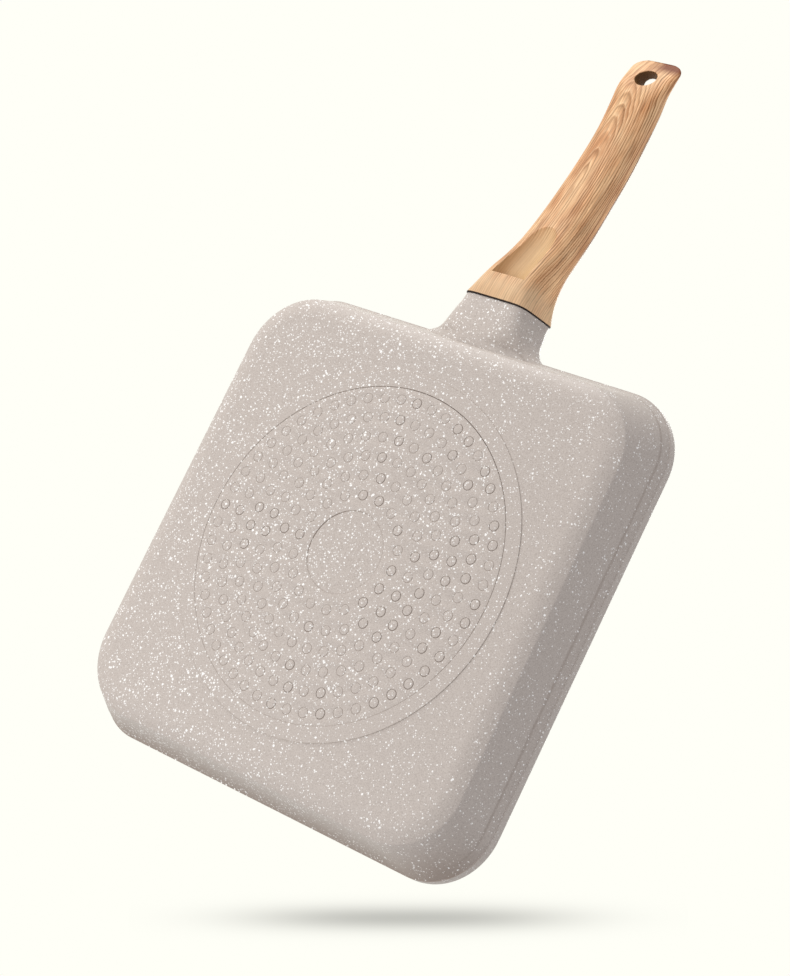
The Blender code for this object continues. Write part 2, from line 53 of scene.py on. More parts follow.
WALL_TOP_HEIGHT = 0.0260
WALL_TOP_ROUND = 0.0011
WALL_TOP_SOFTNESS = 0.00012
WALL_DRAFT = radians(17.0)
BELLY_INSET = 0.0096
BELLY_HEIGHT = 0.0043
BELLY_TURN = radians(33.0)
BELLY_EDGE_ROUND = 0.0022
BELLY_STEPS = 14
INNER_OVERHANG = 0.0045
BASE_HALF = 0.1331
BASE_CORNER = 0.0405
PAN_HEIGHT = 0.0388
WALL_THICKNESS = 0.0028
FLOOR_THICKNESS = 0.0052
WELL_FILLET = 0.0090
LAND_RADIUS = 0.1057
LAND_STEP = 0.0005
LAND_ROUND = 0.00025
PLATE_RADIUS = 0.0965
ISLAND_RADIUS = 0.0239
ISLAND_SINK = 0.00025
ISLAND_ROUND = 0.0002
POCKET_DEPTH = 0.0011
RIDGE_PITCH = 0.0190
RIDGE_COUNT = 12
RIDGE_FOOT = 0.00375
RIDGE_SLOPE = 0.00195
RIDGE_HEIGHT = 0.0035
RIDGE_FILLET = 0.0010
RIDGE_CROWN = 0.0009
RIDGE_FOOT_IN = 0.0002
RIDGE_END_SHARE = 0.98
RIDGE_FIELD = 0.1143
RIDGE_FIELD_CORNER = 0.0217
CORNER_STEPS = 22
FILLET_STEPS = 12
RIM_STEPS = 8
EDGE_STEPS = 4
CROWN_STEPS = 6
BAR_STEPS = 8
ROUND_SIDES = 256
ISLAND_SIDES = 128
SECTION_MARKS = 2881
JOINT_DISTANCE = 0.1646
JOINT_MIDDLE = 0.0345
JOINT_HALF_WIDTH = 0.0244
JOINT_HALF_THICKNESS = 0.0148
JOINT_TAPER = 0.15
JOINT_SQUARENESS = 6.0
NECK_END_ROUND = 0.0007
NECK_RINGS = 40
NECK_SIDES = 128
# Neck, back from the joint: distance, half width, underside and top over the base, taper, squareness
NECK_STATIONS = (
    (0.0000, 0.0238, 0.0205, 0.0485, 0.15, 6.0),
    (0.0050, 0.0245, 0.0198, 0.0474, 0.16, 5.4),
    (0.0100, 0.0264, 0.0192, 0.0459, 0.165, 4.8),
    (0.0150, 0.0282, 0.0187, 0.0438, 0.19, 4.2),
    (0.0190, 0.0300, 0.0182, 0.0418, 0.26, 3.8),
    (0.0225, 0.0318, 0.0178, 0.0400, 0.37, 3.5),
    (0.0250, 0.0336, 0.0174, 0.0388, 0.52, 3.3),
    (0.0280, 0.0369, 0.0168, 0.0378, 0.56, 3.2),
    (0.0320, 0.0404, 0.0160, 0.0370, 0.50, 3.2),
    (0.0360, 0.0427, 0.0150, 0.0366, 0.41, 3.2),
)
HANG_HOLE_DISTANCE = 0.1637
HANG_HOLE_RISE = 0.0301
SCREW_LIFT_AT_JOINT = 0.0078
SCREW_LIFT_AT_HOLE = 0.0010
TENON_WIDTH = 0.0260
TENON_THICKNESS = 0.0140
TENON_DROP = 0.0036
TENON_LENGTH = 0.0280
TENON_ROOT = 0.0060
TENON_ROUND = 0.0030
SCREW_RADIUS = 0.0020
SCREW_BORE_START = 0.0060
GAP = 0.0003
CUT_PAST = 0.0020


def put(name, data):
    """Add an object with this data to the scene."""
    placed = bpy.data.objects.new(name, data)
    bpy.context.scene.collection.objects.link(placed)
    return placed


def mesh_piece(name, bm):
    """Turn a bmesh into an object of the scene, smooth but for its sharp edges."""
    bmesh.ops.recalc_face_normals(bm, faces=bm.faces)
    if bm.calc_volume(signed=True) < 0:
        bmesh.ops.reverse_faces(bm, faces=bm.faces)
    mesh = bpy.data.meshes.new(name)
    bm.to_mesh(mesh)
    bm.free()
    piece = put(name, mesh)
    soften(piece)
    return piece


def soften(piece, angle=30.0):
    """Smooth shading, with every edge sharper than the angle kept sharp."""
    piece.data.shade_smooth()
    piece.data.set_sharp_from_angle(angle=radians(angle))


def take_modifiers(piece):
    """Make what the modifiers give the piece's own mesh."""
    graph = bpy.context.evaluated_depsgraph_get()
    mesh = bpy.data.meshes.new_from_object(piece.evaluated_get(graph))
    piece.modifiers.clear()
    piece.data = mesh


def combine(piece, bm, operation, place=Matrix()):
    """Join or cut with a form by an exact Boolean, and drop the form."""
    form = mesh_piece("form", bm)
    form.data.transform(place)
    step = piece.modifiers.new("form", "BOOLEAN")
    step.operation = operation
    step.solver = "EXACT"
    step.object = form
    take_modifiers(piece)
    bpy.data.objects.remove(form, do_unlink=True)


def skin(bm, loops):
    """Add the faces between each loop of points and the next."""
    for lower, upper in zip(loops, loops[1:]):
        for index in range(len(lower)):
            after = (index + 1) % len(lower)
            bm.faces.new((lower[index], lower[after], upper[after], upper[index]))


def loft(rings, bm=None):
    """Closed solid through rings of equally many points, capped at both ends."""
    bm = bmesh.new() if bm is None else bm
    loops = [[bm.verts.new(point) for point in ring] for ring in rings]
    skin(bm, loops)
    bm.faces.new(loops[0])
    bm.faces.new(loops[-1])
    return bm


def round_box_ring(half_x, half_y, radius, height, steps, middle=0.0):
    """Level ring of points round a rectangle with round corners."""
    ring = []
    for quarter in range(4):
        side_x = (1, -1, -1, 1)[quarter] * (half_x - radius)
        side_y = (1, 1, -1, -1)[quarter] * (half_y - radius)
        for step in range(steps + 1):
            angle = pi / 2 * (quarter + step / steps)
            x = middle + side_x + radius * cos(angle)
            ring.append((x, side_y + radius * sin(angle), height))
    return ring


def base_ring(inset, height):
    """Ring inside the square of the well's floor."""
    return round_box_ring(BASE_HALF - inset, BASE_HALF - inset, BASE_CORNER - inset, height, CORNER_STEPS)


def rim_ring(inset, height):
    """Ring inside the square of the rim."""
    return round_box_ring(RIM_HALF - inset, RIM_HALF - inset, RIM_CORNER - inset, height, CORNER_STEPS)


def quarter_turns(steps, turns=1):
    """Angles through one or more quarter turns, with this many steps in each."""
    return [pi / 2 * step / steps for step in range(turns * steps + 1)]


def turned(profile, sides, x=0.0, y=0.0, bm=None):
    """Closed solid turned round an upright axis from a profile of (radius, height)."""
    rings = []
    for radius, height in profile:
        ring = []
        for index in range(sides):
            angle = 2 * pi * index / sides
            ring.append((x + radius * cos(angle), y + radius * sin(angle), height))
        rings.append(ring)
    return loft(rings, bm)


def section(half_width, underside, top, distance, taper, squareness, sides):
    """Upright ring at a distance from the joint: a squarish oval, wider above its middle by the taper."""
    angle = np.linspace(0.0, 2 * pi, SECTION_MARKS)
    across = np.sign(np.cos(angle)) * np.abs(np.cos(angle)) ** (2 / squareness)
    up = np.sign(np.sin(angle)) * np.abs(np.sin(angle)) ** (2 / squareness)
    x = half_width * across * (1 + taper * up)
    z = (top + underside) / 2 + (top - underside) / 2 * up
    along = np.concatenate(([0.0], np.cumsum(np.hypot(np.diff(x), np.diff(z)))))
    marks = np.linspace(0.0, along[-1], sides + 1)[:-1]
    return [(a, distance, b) for a, b in zip(np.interp(marks, along, x), np.interp(marks, along, z))]


def smooth_between(stations, place):
    """Values at a place along the stations, on a smooth curve through them."""
    index = 0
    while index < len(stations) - 2 and stations[index + 1][0] < place:
        index += 1
    left, right = stations[index], stations[index + 1]
    before, after = stations[max(index - 1, 0)], stations[min(index + 2, len(stations) - 1)]
    span = right[0] - left[0]
    t = (place - left[0]) / span
    values = []
    for k in range(1, len(left)):
        slope_left = (right[k] - before[k]) / (right[0] - before[0]) * span
        slope_right = (after[k] - left[k]) / (after[0] - left[0]) * span
        values.append(
            (2 * t ** 3 - 3 * t ** 2 + 1) * left[k]
            + (t ** 3 - 2 * t ** 2 + t) * slope_left
            + (3 * t ** 2 - 2 * t ** 3) * right[k]
            + (t ** 3 - t ** 2) * slope_right
        )
    return values


def outer_form():
    """Outside of the casting: a shallow belly, a soft edge, the drafted wall, a slope, band and rim."""
    rings = []

    def belly_ring(inset, height):
        half = RIM_HALF - inset
        rings.append(round_box_ring(half, half, half - BASE_HALF + BASE_CORNER, height, CORNER_STEPS))

    def edge(inset, height, radius, first, last):
        # Round a sharp edge at this inset and height between two turns from the base's normal.
        middle = (first + last) / 2
        away = radius / cos((last - first) / 2)
        inset, height = inset + away * sin(middle), height + away * cos(middle)
        for step in range(EDGE_STEPS + 1):
            angle = first + (last - first) * step / EDGE_STEPS
            belly_ring(inset - radius * sin(angle), height - radius * cos(angle))

    radius = (BELLY_HEIGHT - LAND_STEP) / (1 - cos(BELLY_TURN))
    for step in range(BELLY_STEPS):
        angle = BELLY_TURN * step / BELLY_STEPS
        inset = BELLY_INSET + radius * (sin(BELLY_TURN) - sin(angle))
        belly_ring(inset, LAND_STEP + radius * (1 - cos(angle)))
    edge(BELLY_INSET, BELLY_HEIGHT, BELLY_EDGE_ROUND, BELLY_TURN, pi / 2 - WALL_DRAFT)
    slope = (WALL_TOP_INSET, RIM_BAND_BOTTOM - WALL_TOP_HEIGHT)
    length = hypot(*slope)
    for share in (-1.0, -0.3, 0.3, 1.0):
        along = WALL_TOP_ROUND * share
        sink = WALL_TOP_SOFTNESS * (1 - share * share)
        inset = WALL_TOP_INSET - (along * tan(WALL_DRAFT) if share < 0 else along * slope[0] / length)
        rings.append(rim_ring(inset - sink, WALL_TOP_HEIGHT + along))
    for angle in quarter_turns(EDGE_STEPS):
        inset = RIM_BAND_ROUND * (1 - sin(angle))
        rings.append(rim_ring(inset, RIM_BAND_BOTTOM + RIM_BAND_ROUND * (1 - cos(angle))))
    for angle in quarter_turns(RIM_STEPS, 2):
        inset = RIM_ROUND * (1 - cos(angle))
        rings.append(rim_ring(inset, PAN_HEIGHT - RIM_ROUND * (1 - sin(angle))))
    return loft(rings)


def well_form():
    """Room inside the pan: floor, fillet, drafted wall and a rounded lip."""
    rings = []
    for angle in quarter_turns(FILLET_STEPS):
        inset = WALL_THICKNESS + WELL_FILLET * (1 - sin(angle))
        rings.append(base_ring(inset, FLOOR_THICKNESS + WELL_FILLET * (1 - cos(angle))))
    wall_inset = INNER_OVERHANG + WALL_THICKNESS
    for angle in quarter_turns(RIM_STEPS):
        inset = wall_inset - RIM_LIP_ROUND * (1 - cos(angle))
        rings.append(rim_ring(inset, PAN_HEIGHT - RIM_LIP_ROUND * (1 - sin(angle))))
    rings.append(rim_ring(wall_inset - RIM_LIP_ROUND, PAN_HEIGHT + CUT_PAST))
    return loft(rings)


def ridge_form(offset):
    """One grill ridge, with a fillet at its foot, sloping sides and a round crest."""
    past = max(0.0, abs(offset) + RIDGE_FOOT - (RIDGE_FIELD - RIDGE_FIELD_CORNER))
    half_length = RIDGE_FIELD - RIDGE_FIELD_CORNER + sqrt(RIDGE_FIELD_CORNER ** 2 - past ** 2)
    levels = [(-CUT_PAST, -RIDGE_FILLET)]
    for angle in quarter_turns(EDGE_STEPS):
        levels.append((RIDGE_FILLET * (1 - cos(angle)), RIDGE_FILLET * (sin(angle) - 1) + RIDGE_FOOT_IN))
    for angle in quarter_turns(CROWN_STEPS):
        inset = RIDGE_SLOPE - RIDGE_CROWN * cos(angle)
        levels.append((RIDGE_HEIGHT - RIDGE_CROWN * (1 - sin(angle)), inset))
    rings = []
    for height, inset in levels:
        half_x = RIDGE_FOOT - inset
        half_y = half_length - inset
        end_round = half_x * RIDGE_END_SHARE
        rings.append(round_box_ring(half_x, half_y, end_round, FLOOR_THICKNESS + height, BAR_STEPS, offset))
    return loft(rings)


def neck_form():
    """The neck from the joint back into the pan's wall, spreading under the rim."""
    rings = []
    places = [NECK_END_ROUND * (1 - cos(angle)) for angle in quarter_turns(EDGE_STEPS)[:-1]]
    places += list(np.linspace(NECK_END_ROUND, NECK_STATIONS[-1][0], NECK_RINGS))
    for back in places:
        half_width, underside, top, taper, squareness = smooth_between(NECK_STATIONS, back)
        inset = NECK_END_ROUND - sqrt(max(0.0, NECK_END_ROUND ** 2 - max(0.0, NECK_END_ROUND - back) ** 2))
        distance = JOINT_DISTANCE - back
        rings.append(
            section(half_width - inset, underside + inset, top - inset, distance, taper, squareness, NECK_SIDES)
        )
    return loft(rings)


def tenon_form(start, end, grow):
    """Bar along the screw's axis with round edges."""
    rings = []
    for distance in (start, end):
        flat = round_box_ring(TENON_WIDTH / 2 + grow, TENON_THICKNESS / 2 + grow, TENON_ROUND + grow, 0.0, BAR_STEPS)
        rings.append([(x, distance, y - TENON_DROP) for x, y, _ in flat])
    return loft(rings)


def rod_form(radius, start, end, sides=48):
    """Round bar along Y."""
    bm = turned(((radius, start), (radius, end)), sides)
    bmesh.ops.transform(bm, verts=bm.verts, matrix=Matrix.Rotation(-pi / 2, 4, "X"))
    return bm


# The screw's axis rises from the joint to the hanging hole.
hole_middle = JOINT_MIDDLE + HANG_HOLE_RISE
screw_rise = atan2(hole_middle + SCREW_LIFT_AT_HOLE - JOINT_MIDDLE - SCREW_LIFT_AT_JOINT, HANG_HOLE_DISTANCE)
screw_axis = Matrix.Translation((0.0, JOINT_DISTANCE, JOINT_MIDDLE + SCREW_LIFT_AT_JOINT))
screw_axis = screw_axis @ Matrix.Rotation(screw_rise, 4, "X")

casting = mesh_piece("casting", outer_form())
combine(casting, neck_form(), "UNION")
combine(casting, tenon_form(-TENON_ROOT, TENON_LENGTH, 0.0), "UNION", screw_axis)
combine(casting, well_form(), "DIFFERENCE")
land = [(LAND_RADIUS - LAND_ROUND, 0.0)]
for angle in quarter_turns(EDGE_STEPS)[1:]:
    land.append((LAND_RADIUS - LAND_ROUND * (1 - sin(angle)), LAND_ROUND * (1 - cos(angle))))
land.append((LAND_RADIUS, LAND_STEP + GAP))
combine(casting, turned(land, ROUND_SIDES), "UNION")
pocket = turned(((PLATE_RADIUS + GAP, -CUT_PAST), (PLATE_RADIUS + GAP, POCKET_DEPTH)), ROUND_SIDES)
combine(casting, pocket, "DIFFERENCE")
island = [(ISLAND_RADIUS - GAP - ISLAND_ROUND, ISLAND_SINK), (ISLAND_RADIUS - GAP, ISLAND_SINK + ISLAND_ROUND)]
combine(casting, turned(island + [(ISLAND_RADIUS - GAP, POCKET_DEPTH + GAP)], ISLAND_SIDES), "UNION")
for index in range(RIDGE_COUNT):
    combine(casting, ridge_form((index - (RIDGE_COUNT - 1) / 2) * RIDGE_PITCH), "UNION")
combine(casting, rod_form(SCREW_RADIUS + GAP, SCREW_BORE_START, TENON_LENGTH + CUT_PAST), "DIFFERENCE", screw_axis)
soften(casting)
# Large flat faces stay flat in the smooth shading.
flat_faces = casting.modifiers.new("flat_faces", "WEIGHTED_NORMAL")
flat_faces.keep_sharp = True
take_modifiers(casting)


def linear(code):
    """Linear colour of an sRGB hex value."""
    channels = [int(code[start:start + 2], 16) / 255 for start in (1, 3, 5)]
    bright = [c / 12.92 if c <= 0.04045 else ((c + 0.055) / 1.055) ** 2.4 for c in channels]
    return (*bright, 1.0)


def add_node(tree, kind, inputs=(), operation=None, stops=(), **settings):
    """Add a node. An input takes a value, an output, or a node for its first output; stops are a ramp's colours.

    The inputs 0 to 4 of a MapRange are its value, the least and most that it comes from and that it goes to.
    """
    made = tree.nodes.new("ShaderNode" + kind)
    if operation:
        made.operation = operation
    for name, value in settings.items():
        setattr(made, name, value)
    for socket, value in dict(inputs).items():
        if isinstance(value, bpy.types.Node):
            value = value.outputs[0]
        if isinstance(value, bpy.types.NodeSocket):
            tree.links.new(value, made.inputs[socket])
        else:
            made.inputs[socket].default_value = value
    for index, (position, colour) in enumerate(stops):
        elements = made.color_ramp.elements
        stop = elements[index] if index < 2 else elements.new(position)
        stop.position, stop.color = position, colour
    return made


def new_material(name, **sockets):
    """A Principled material with these values on its own sockets."""
    material = bpy.data.materials.new(name)
    material.use_nodes = True
    shader = material.node_tree.nodes["Principled BSDF"]
    for socket, value in sockets.items():
        shader.inputs[socket.replace("_", " ")].default_value = value
    return material, material.node_tree, shader


def dress(tree, shader, colour, height, strength, distance):
    """Give a material its colour and a fine relief."""
    tree.links.new(colour, shader.inputs["Base Color"])
    bump = add_node(tree, "Bump", {"Height": height, "Strength": strength, "Distance": distance})
    tree.links.new(bump.outputs[0], shader.inputs["Normal"])


def stone_coating(name):
    """Sprayed stone-look PTFE coating: satin beige, full of cream specks of three sizes on a fine dark grain."""
    material, tree, shader = new_material(name, Roughness=0.46, IOR=1.36)
    place = add_node(tree, "TexCoord").outputs["Object"]
    # Specks gather in loose swarms about 9 mm across and aren't quite round.
    swarm = add_node(tree, "TexNoise", {"Vector": place, "Scale": 110.0, "Detail": 1.0}).outputs[0]
    gather = add_node(tree, "MapRange", {0: swarm, 1: 0.3, 2: 0.7, 3: -0.05, 4: 0.05})
    # They thin out towards the -X side.
    sideways = add_node(tree, "SeparateXYZ", {0: place})
    thin = add_node(tree, "MapRange", {0: sideways, 1: -0.14, 2: 0.02, 3: -0.07, 4: 0.0})
    gather = add_node(tree, "Math", {0: gather, 1: thin}, "ADD")
    bend = add_node(tree, "TexNoise", {"Vector": place, "Scale": 900.0, "Detail": 1.0})
    shift = add_node(tree, "VectorMath", {0: bend.outputs["Color"], "Scale": 0.0009}, "SCALE")
    bent = add_node(tree, "VectorMath", {0: place, 1: shift}, "ADD").outputs[0]
    specks = None
    # Cell size in mm, least and greatest radius as a share of the cell, strength
    for cell, least, most, strength in ((1.2, -0.17, 0.39, 0.80), (1.9, -0.12, 0.32, 0.95), (3.2, -0.08, 0.24, 1.0)):
        cells = add_node(tree, "Mapping", {"Vector": bent, "Location": (cell, 0.0, 0.0), "Rotation": (cell, cell, 0.0)})
        spot = add_node(tree, "TexVoronoi", {"Vector": cells, "Scale": 1000.0 / cell})
        chance = add_node(tree, "SeparateColor", {0: spot.outputs["Color"]})
        radius = add_node(tree, "MapRange", {0: chance, 3: least, 4: most})
        radius = add_node(tree, "Math", {0: radius, 1: gather}, "ADD")
        edge = add_node(tree, "Math", {0: radius, 1: spot.outputs["Distance"]}, "SUBTRACT")
        edge = {0: edge, 1: -0.03, 2: 0.05, 4: strength}
        layer = add_node(tree, "MapRange", edge, interpolation_type="SMOOTHSTEP").outputs[0]
        if specks is None:
            specks = layer
        else:
            specks = add_node(tree, "Math", {0: specks, 1: layer}, "MAXIMUM").outputs[0]
    grain = add_node(tree, "TexNoise", {"Vector": place, "Scale": 1500.0, "Detail": 2.0, "Roughness": 0.7})
    cloud = add_node(tree, "ValToRGB", {"Fac": grain}, stops=((0.34, linear("#B2A79E")), (0.56, linear("#C7BDB4"))))
    # Painted shade, laid on as brown in creases and grooves, where shade falls.
    crease = add_node(tree, "Attribute", attribute_name="crease").outputs["Fac"]
    painted_shading = add_node(tree, "Mix", {0: crease, 6: cloud, 7: linear("#826F62")}, data_type="RGBA")
    colour = add_node(tree, "Mix", {0: specks, 6: painted_shading.outputs[2], 7: linear("#FFFDF8")}, data_type="RGBA")
    height = add_node(tree, "Math", {0: specks, 1: 0.5, 2: grain}, "MULTIPLY_ADD")
    dress(tree, shader, colour.outputs[2], height, 0.3, 0.00006)
    return material


def store_shade_paint(piece, values):
    """Keep how much painted shade each point gets where the coating reads it."""
    piece.data.attributes.new("crease", "FLOAT", "POINT").data.foreach_set("value", values)


def mesh_points(mesh):
    """Places of the mesh's points, one row each."""
    points = np.empty(len(mesh.vertices) * 3)
    mesh.vertices.foreach_get("co", points)
    return points.reshape(-1, 3)


# Painted shade at each point, laid on as brown in the coating: most in the crease and on the slope between the
# wall and the rim's band, on the side away from the handle more than on the others, where the painted shade also
# runs out down the wall to its soft edge.
SHADE_SIDE_FROM = 0.105
SHADE_SIDE_FADE = 0.025
CREASE_HALF = 0.0005
SLACK = 0.0002
# How much painted shade the wall's end, the crease and the slope get all round, and how much more on the far side
SHADE_PAINT_LEVELS = ((0.0, 0.58), (0.32, 0.28), (0.04, 0.60))
# How much painted shade the wall gets on the far side, at its foot and at its top
WALL_SHADE_PAINT = (0.02, 0.44)
points = mesh_points(casting.data)
height = points[:, 2]
over = np.abs(points[:, :2]) - (RIM_HALF - RIM_CORNER)
inset = RIM_CORNER - np.hypot(*np.maximum(over, 0.0).T) - np.minimum(over.max(axis=1), 0.0)
slope = (inset > -SLACK) & (inset < WALL_TOP_INSET + 3 * SLACK) & (points[:, 1] < RIM_HALF)
slope &= (height > WALL_TOP_HEIGHT - WALL_TOP_ROUND - SLACK) & (height < RIM_BAND_BOTTOM + SLACK)
far_side = np.clip((-points[:, 1] - SHADE_SIDE_FROM) / SHADE_SIDE_FADE, 0.0, 1.0)
under_crease, in_crease = height < WALL_TOP_HEIGHT - CREASE_HALF, height < WALL_TOP_HEIGHT + CREASE_HALF
wall_end, fold, above = [least + more * far_side for least, more in SHADE_PAINT_LEVELS]
crease = np.select([under_crease, in_crease], [wall_end, fold], above) * slope
wall = (inset > WALL_TOP_INSET - 1.5 * SLACK) & (inset < BELLY_INSET + SLACK) & under_crease
wall &= height > BELLY_HEIGHT - SLACK
faded = np.interp(height, (BELLY_HEIGHT, WALL_TOP_HEIGHT), WALL_SHADE_PAINT) * far_side * wall
crease = np.maximum(crease, faded)
store_shade_paint(casting, crease)
casting.data.materials.append(stone_coating("stone_coating_on_cast_aluminium"))
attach(casting, "root")
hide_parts("pan_body")

# The base plate: a ring of 0.8 mm magnetic steel with 210 punched holes, laid in the mould or pressed on hot, so that
# the aluminium stands in each hole as a small round stud. The coating runs over plate and studs alike.
PLATE_FACE = 0.00012
PLATE_TOP = 0.00085
PLATE_ROUND = 0.00012
RING_COUNTS = (18, 24, 32, 38, 46, 52)
FIRST_RING = 0.0330
RING_STEP = 0.01136
HOLE_RADIUS = 0.0030
# Half width of the groove, its depth under the plate's face, and how far the stud stands off that face, in metres
PLAIN_GROOVE = (0.00017, 0.00020, 0.00000)
CRISP_GROOVE = (0.00022, 0.00042, -0.00009)
# How much painted shade each level of such a groove gets, from its hidden foot to the stud's face
PLAIN_SHADE_PAINT = (0.0, 0.5, 0.95, 0.15, 0.0, 0.0)
CRISP_SHADE_PAINT = (0.0, 1.0, 1.0, 0.4, 0.0, 0.0)
STUD_SIDES = 32
LAP = 0.0001
MERGE_DISTANCE = 0.00001
# Holes round which the coating didn't close, counted from the handle in each ring: their studs stand proud.
CRISP_HOLES = (
    (0, 2, 4, 5, 6, 13, 17),
    (0, 5, 7, 8, 9, 12, 18),
    (6, 8, 9, 10, 11, 23, 24, 31),
    (0, 2, 7, 8, 9, 19, 27, 28, 29),
    (3, 5, 8, 9, 10, 13, 14, 20, 22, 34, 45),
    (0, 3, 4, 6, 7, 9, 10, 13, 14, 16, 17, 18, 19, 20, 23, 26, 39),
)


def hole_places():
    """Ring number, number in the ring, and place of every hole. Every other ring is turned by half a step."""
    for ring, count in enumerate(RING_COUNTS):
        radius = FIRST_RING + ring * RING_STEP
        for index in range(count):
            angle = 2 * pi * (index + ((ring + 1) % 2) / 2) / count
            yield ring, index, -radius * sin(angle), radius * cos(angle)


def circle_spline(curve, radius, x=0.0, y=0.0):
    """Add a closed circle to a flat curve."""
    spline = curve.splines.new("BEZIER")
    spline.bezier_points.add(3)
    spline.use_cyclic_u = True
    handle = radius * 4 / 3 * (sqrt(2) - 1)
    for point, (a, b) in zip(spline.bezier_points, ((1, 0), (0, 1), (-1, 0), (0, -1))):
        point.handle_left_type = point.handle_right_type = "FREE"
        point.co = (x + a * radius, y + b * radius, 0.0)
        point.handle_left = (x + a * radius + b * handle, y + b * radius - a * handle, 0.0)
        point.handle_right = (x + a * radius - b * handle, y + b * radius + a * handle, 0.0)
    return spline


sheet = bpy.data.curves.new("base_plate", "CURVE")
sheet.dimensions = "2D"
sheet.fill_mode = "BOTH"
sheet.resolution_u = 8
sheet.extrude = (PLATE_TOP - PLATE_FACE) / 2 - PLATE_ROUND
sheet.bevel_depth = PLATE_ROUND
sheet.bevel_resolution = 2
sheet.offset = -PLATE_ROUND
for radius in (PLATE_RADIUS - LAP, ISLAND_RADIUS + LAP):
    circle_spline(sheet, radius).resolution_u = 48
for ring, index, x, y in hole_places():
    circle_spline(sheet, HOLE_RADIUS, x, y)
pattern = put("pattern", sheet)
graph = bpy.context.evaluated_depsgraph_get()
plate_mesh = bpy.data.meshes.new_from_object(pattern.evaluated_get(graph))
plate_mesh.transform(Matrix.Translation((0.0, 0.0, (PLATE_FACE + PLATE_TOP) / 2)))
bpy.data.objects.remove(pattern, do_unlink=True)
plate = put("base_plate", plate_mesh)
bm = bmesh.new()
bm.from_mesh(plate_mesh)
bmesh.ops.remove_doubles(bm, verts=bm.verts, dist=MERGE_DISTANCE)
bmesh.ops.recalc_face_normals(bm, faces=bm.faces)
bm.to_mesh(plate_mesh)
bm.free()
soften(plate)

# The studs: aluminium of the casting that stands in each hole of the plate, a flat round button in a fine groove. Each
# groove carries painted shade, darkest on the side that lies towards -X and -Y, away from the light.
SHADE_TURN = radians(24.0)
shaded_side = 0.5 - 0.5 * np.cos(2 * pi * np.arange(STUD_SIDES) / STUD_SIDES - SHADE_TURN)
studs_bm = bmesh.new()
painted_shading = []
for ring, index, x, y in hole_places():
    crisp = index in CRISP_HOLES[ring]
    half_width, depth, sunk = CRISP_GROOVE if crisp else PLAIN_GROOVE
    face = PLATE_FACE + sunk
    stud = HOLE_RADIUS - 2 * half_width
    # Radius and height of each level, from the hidden foot over the groove's floor to the stud's softly rounded face
    levels = (
        (HOLE_RADIUS + LAP, PLATE_TOP),
        (HOLE_RADIUS + LAP, PLATE_FACE + depth),
        (HOLE_RADIUS - half_width * 0.7, PLATE_FACE + depth),
        (stud + half_width * 0.2, face + 0.00009),
        (stud - 0.00003, face + 0.00003),
        (stud - 0.00014, face),
    )
    turned(levels, STUD_SIDES, x, y, studs_bm)
    painted_shading += [share * value for share in (CRISP_SHADE_PAINT if crisp else PLAIN_SHADE_PAINT) for value in shaded_side]
studs = mesh_piece("base_studs", studs_bm)
store_shade_paint(studs, painted_shading)

# The beads: coating that fills the joint round the plate's outer edge and the one round its middle. Each is shallow all
# round but for one stretch, where it sank in. Painted shade lies in each, faint all round and dark along that stretch.
BEAD_HALF_WIDTH = 0.0004
BEAD_SHALLOW = 0.00008
BEAD_SHADE_PAINT = 0.15


def bead_piece(name, radius, deep, deepest_at, spread):
    """Closed ring of coating, deepest at one angle and shallower away from it over the spread, both in radians."""
    bm = bmesh.new()
    loops = []
    painted_shading = []
    for across, drop in ((-1.0, None), (-1.0, 0.0), (-0.4, 1.0), (0.4, 1.0), (1.0, 0.0), (1.0, None)):
        loop = []
        for step in range(ROUND_SIDES):
            angle = 2 * pi * step / ROUND_SIDES
            near = exp(-(remainder(angle - deepest_at, 2 * pi) / spread) ** 2)
            depth = BEAD_SHALLOW + (deep - BEAD_SHALLOW) * near
            level = PLATE_TOP if drop is None else PLATE_FACE + depth * (0.5 + drop / 2)
            painted_shading.append((BEAD_SHADE_PAINT + (1 - BEAD_SHADE_PAINT) * near) * (drop or 0.0))
            place = radius + BEAD_HALF_WIDTH * across
            loop.append(bm.verts.new((place * cos(angle), place * sin(angle), level)))
        loops.append(loop)
    skin(bm, loops + loops[:1])
    bead = mesh_piece(name, bm)
    store_shade_paint(bead, painted_shading)
    return bead


outer_bead = bead_piece("outer_bead", PLATE_RADIUS + LAP, 0.0006, radians(120.0), 1.2)
inner_bead = bead_piece("inner_bead", ISLAND_RADIUS, 0.0005, radians(24.0), 0.9)
for bead in (outer_bead, inner_bead):
    bead.data.materials.append(casting.data.materials[0])
    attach(bead, "root")
plate.data.materials.append(stone_coating("stone_coating_on_punched_steel"))
studs.data.materials.append(casting.data.materials[0])
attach(plate, "root")
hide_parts("induction_plate")
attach(studs, "root")

# The seal: a flat ring of dark silicone, moulded to the joint's outline, squeezed between the neck and the grip so that
# its edge shows as a thin dark line.
SEAL_START = 0.00015
SEAL_END = 0.00050
SEAL_INSET = 0.0002
seal_rings = []
for distance in (SEAL_START, SEAL_END):
    half_width, half_height = JOINT_HALF_WIDTH - SEAL_INSET, JOINT_HALF_THICKNESS - SEAL_INSET
    underside, top = JOINT_MIDDLE - half_height, JOINT_MIDDLE + half_height
    seal_rings.append(
        section(half_width, underside, top, JOINT_DISTANCE + distance, JOINT_TAPER, JOINT_SQUARENESS, NECK_SIDES)
    )
seal = mesh_piece("seal", loft(seal_rings))
combine(seal, tenon_form(-CUT_PAST, CUT_PAST, GAP), "DIFFERENCE", screw_axis)
soften(seal)
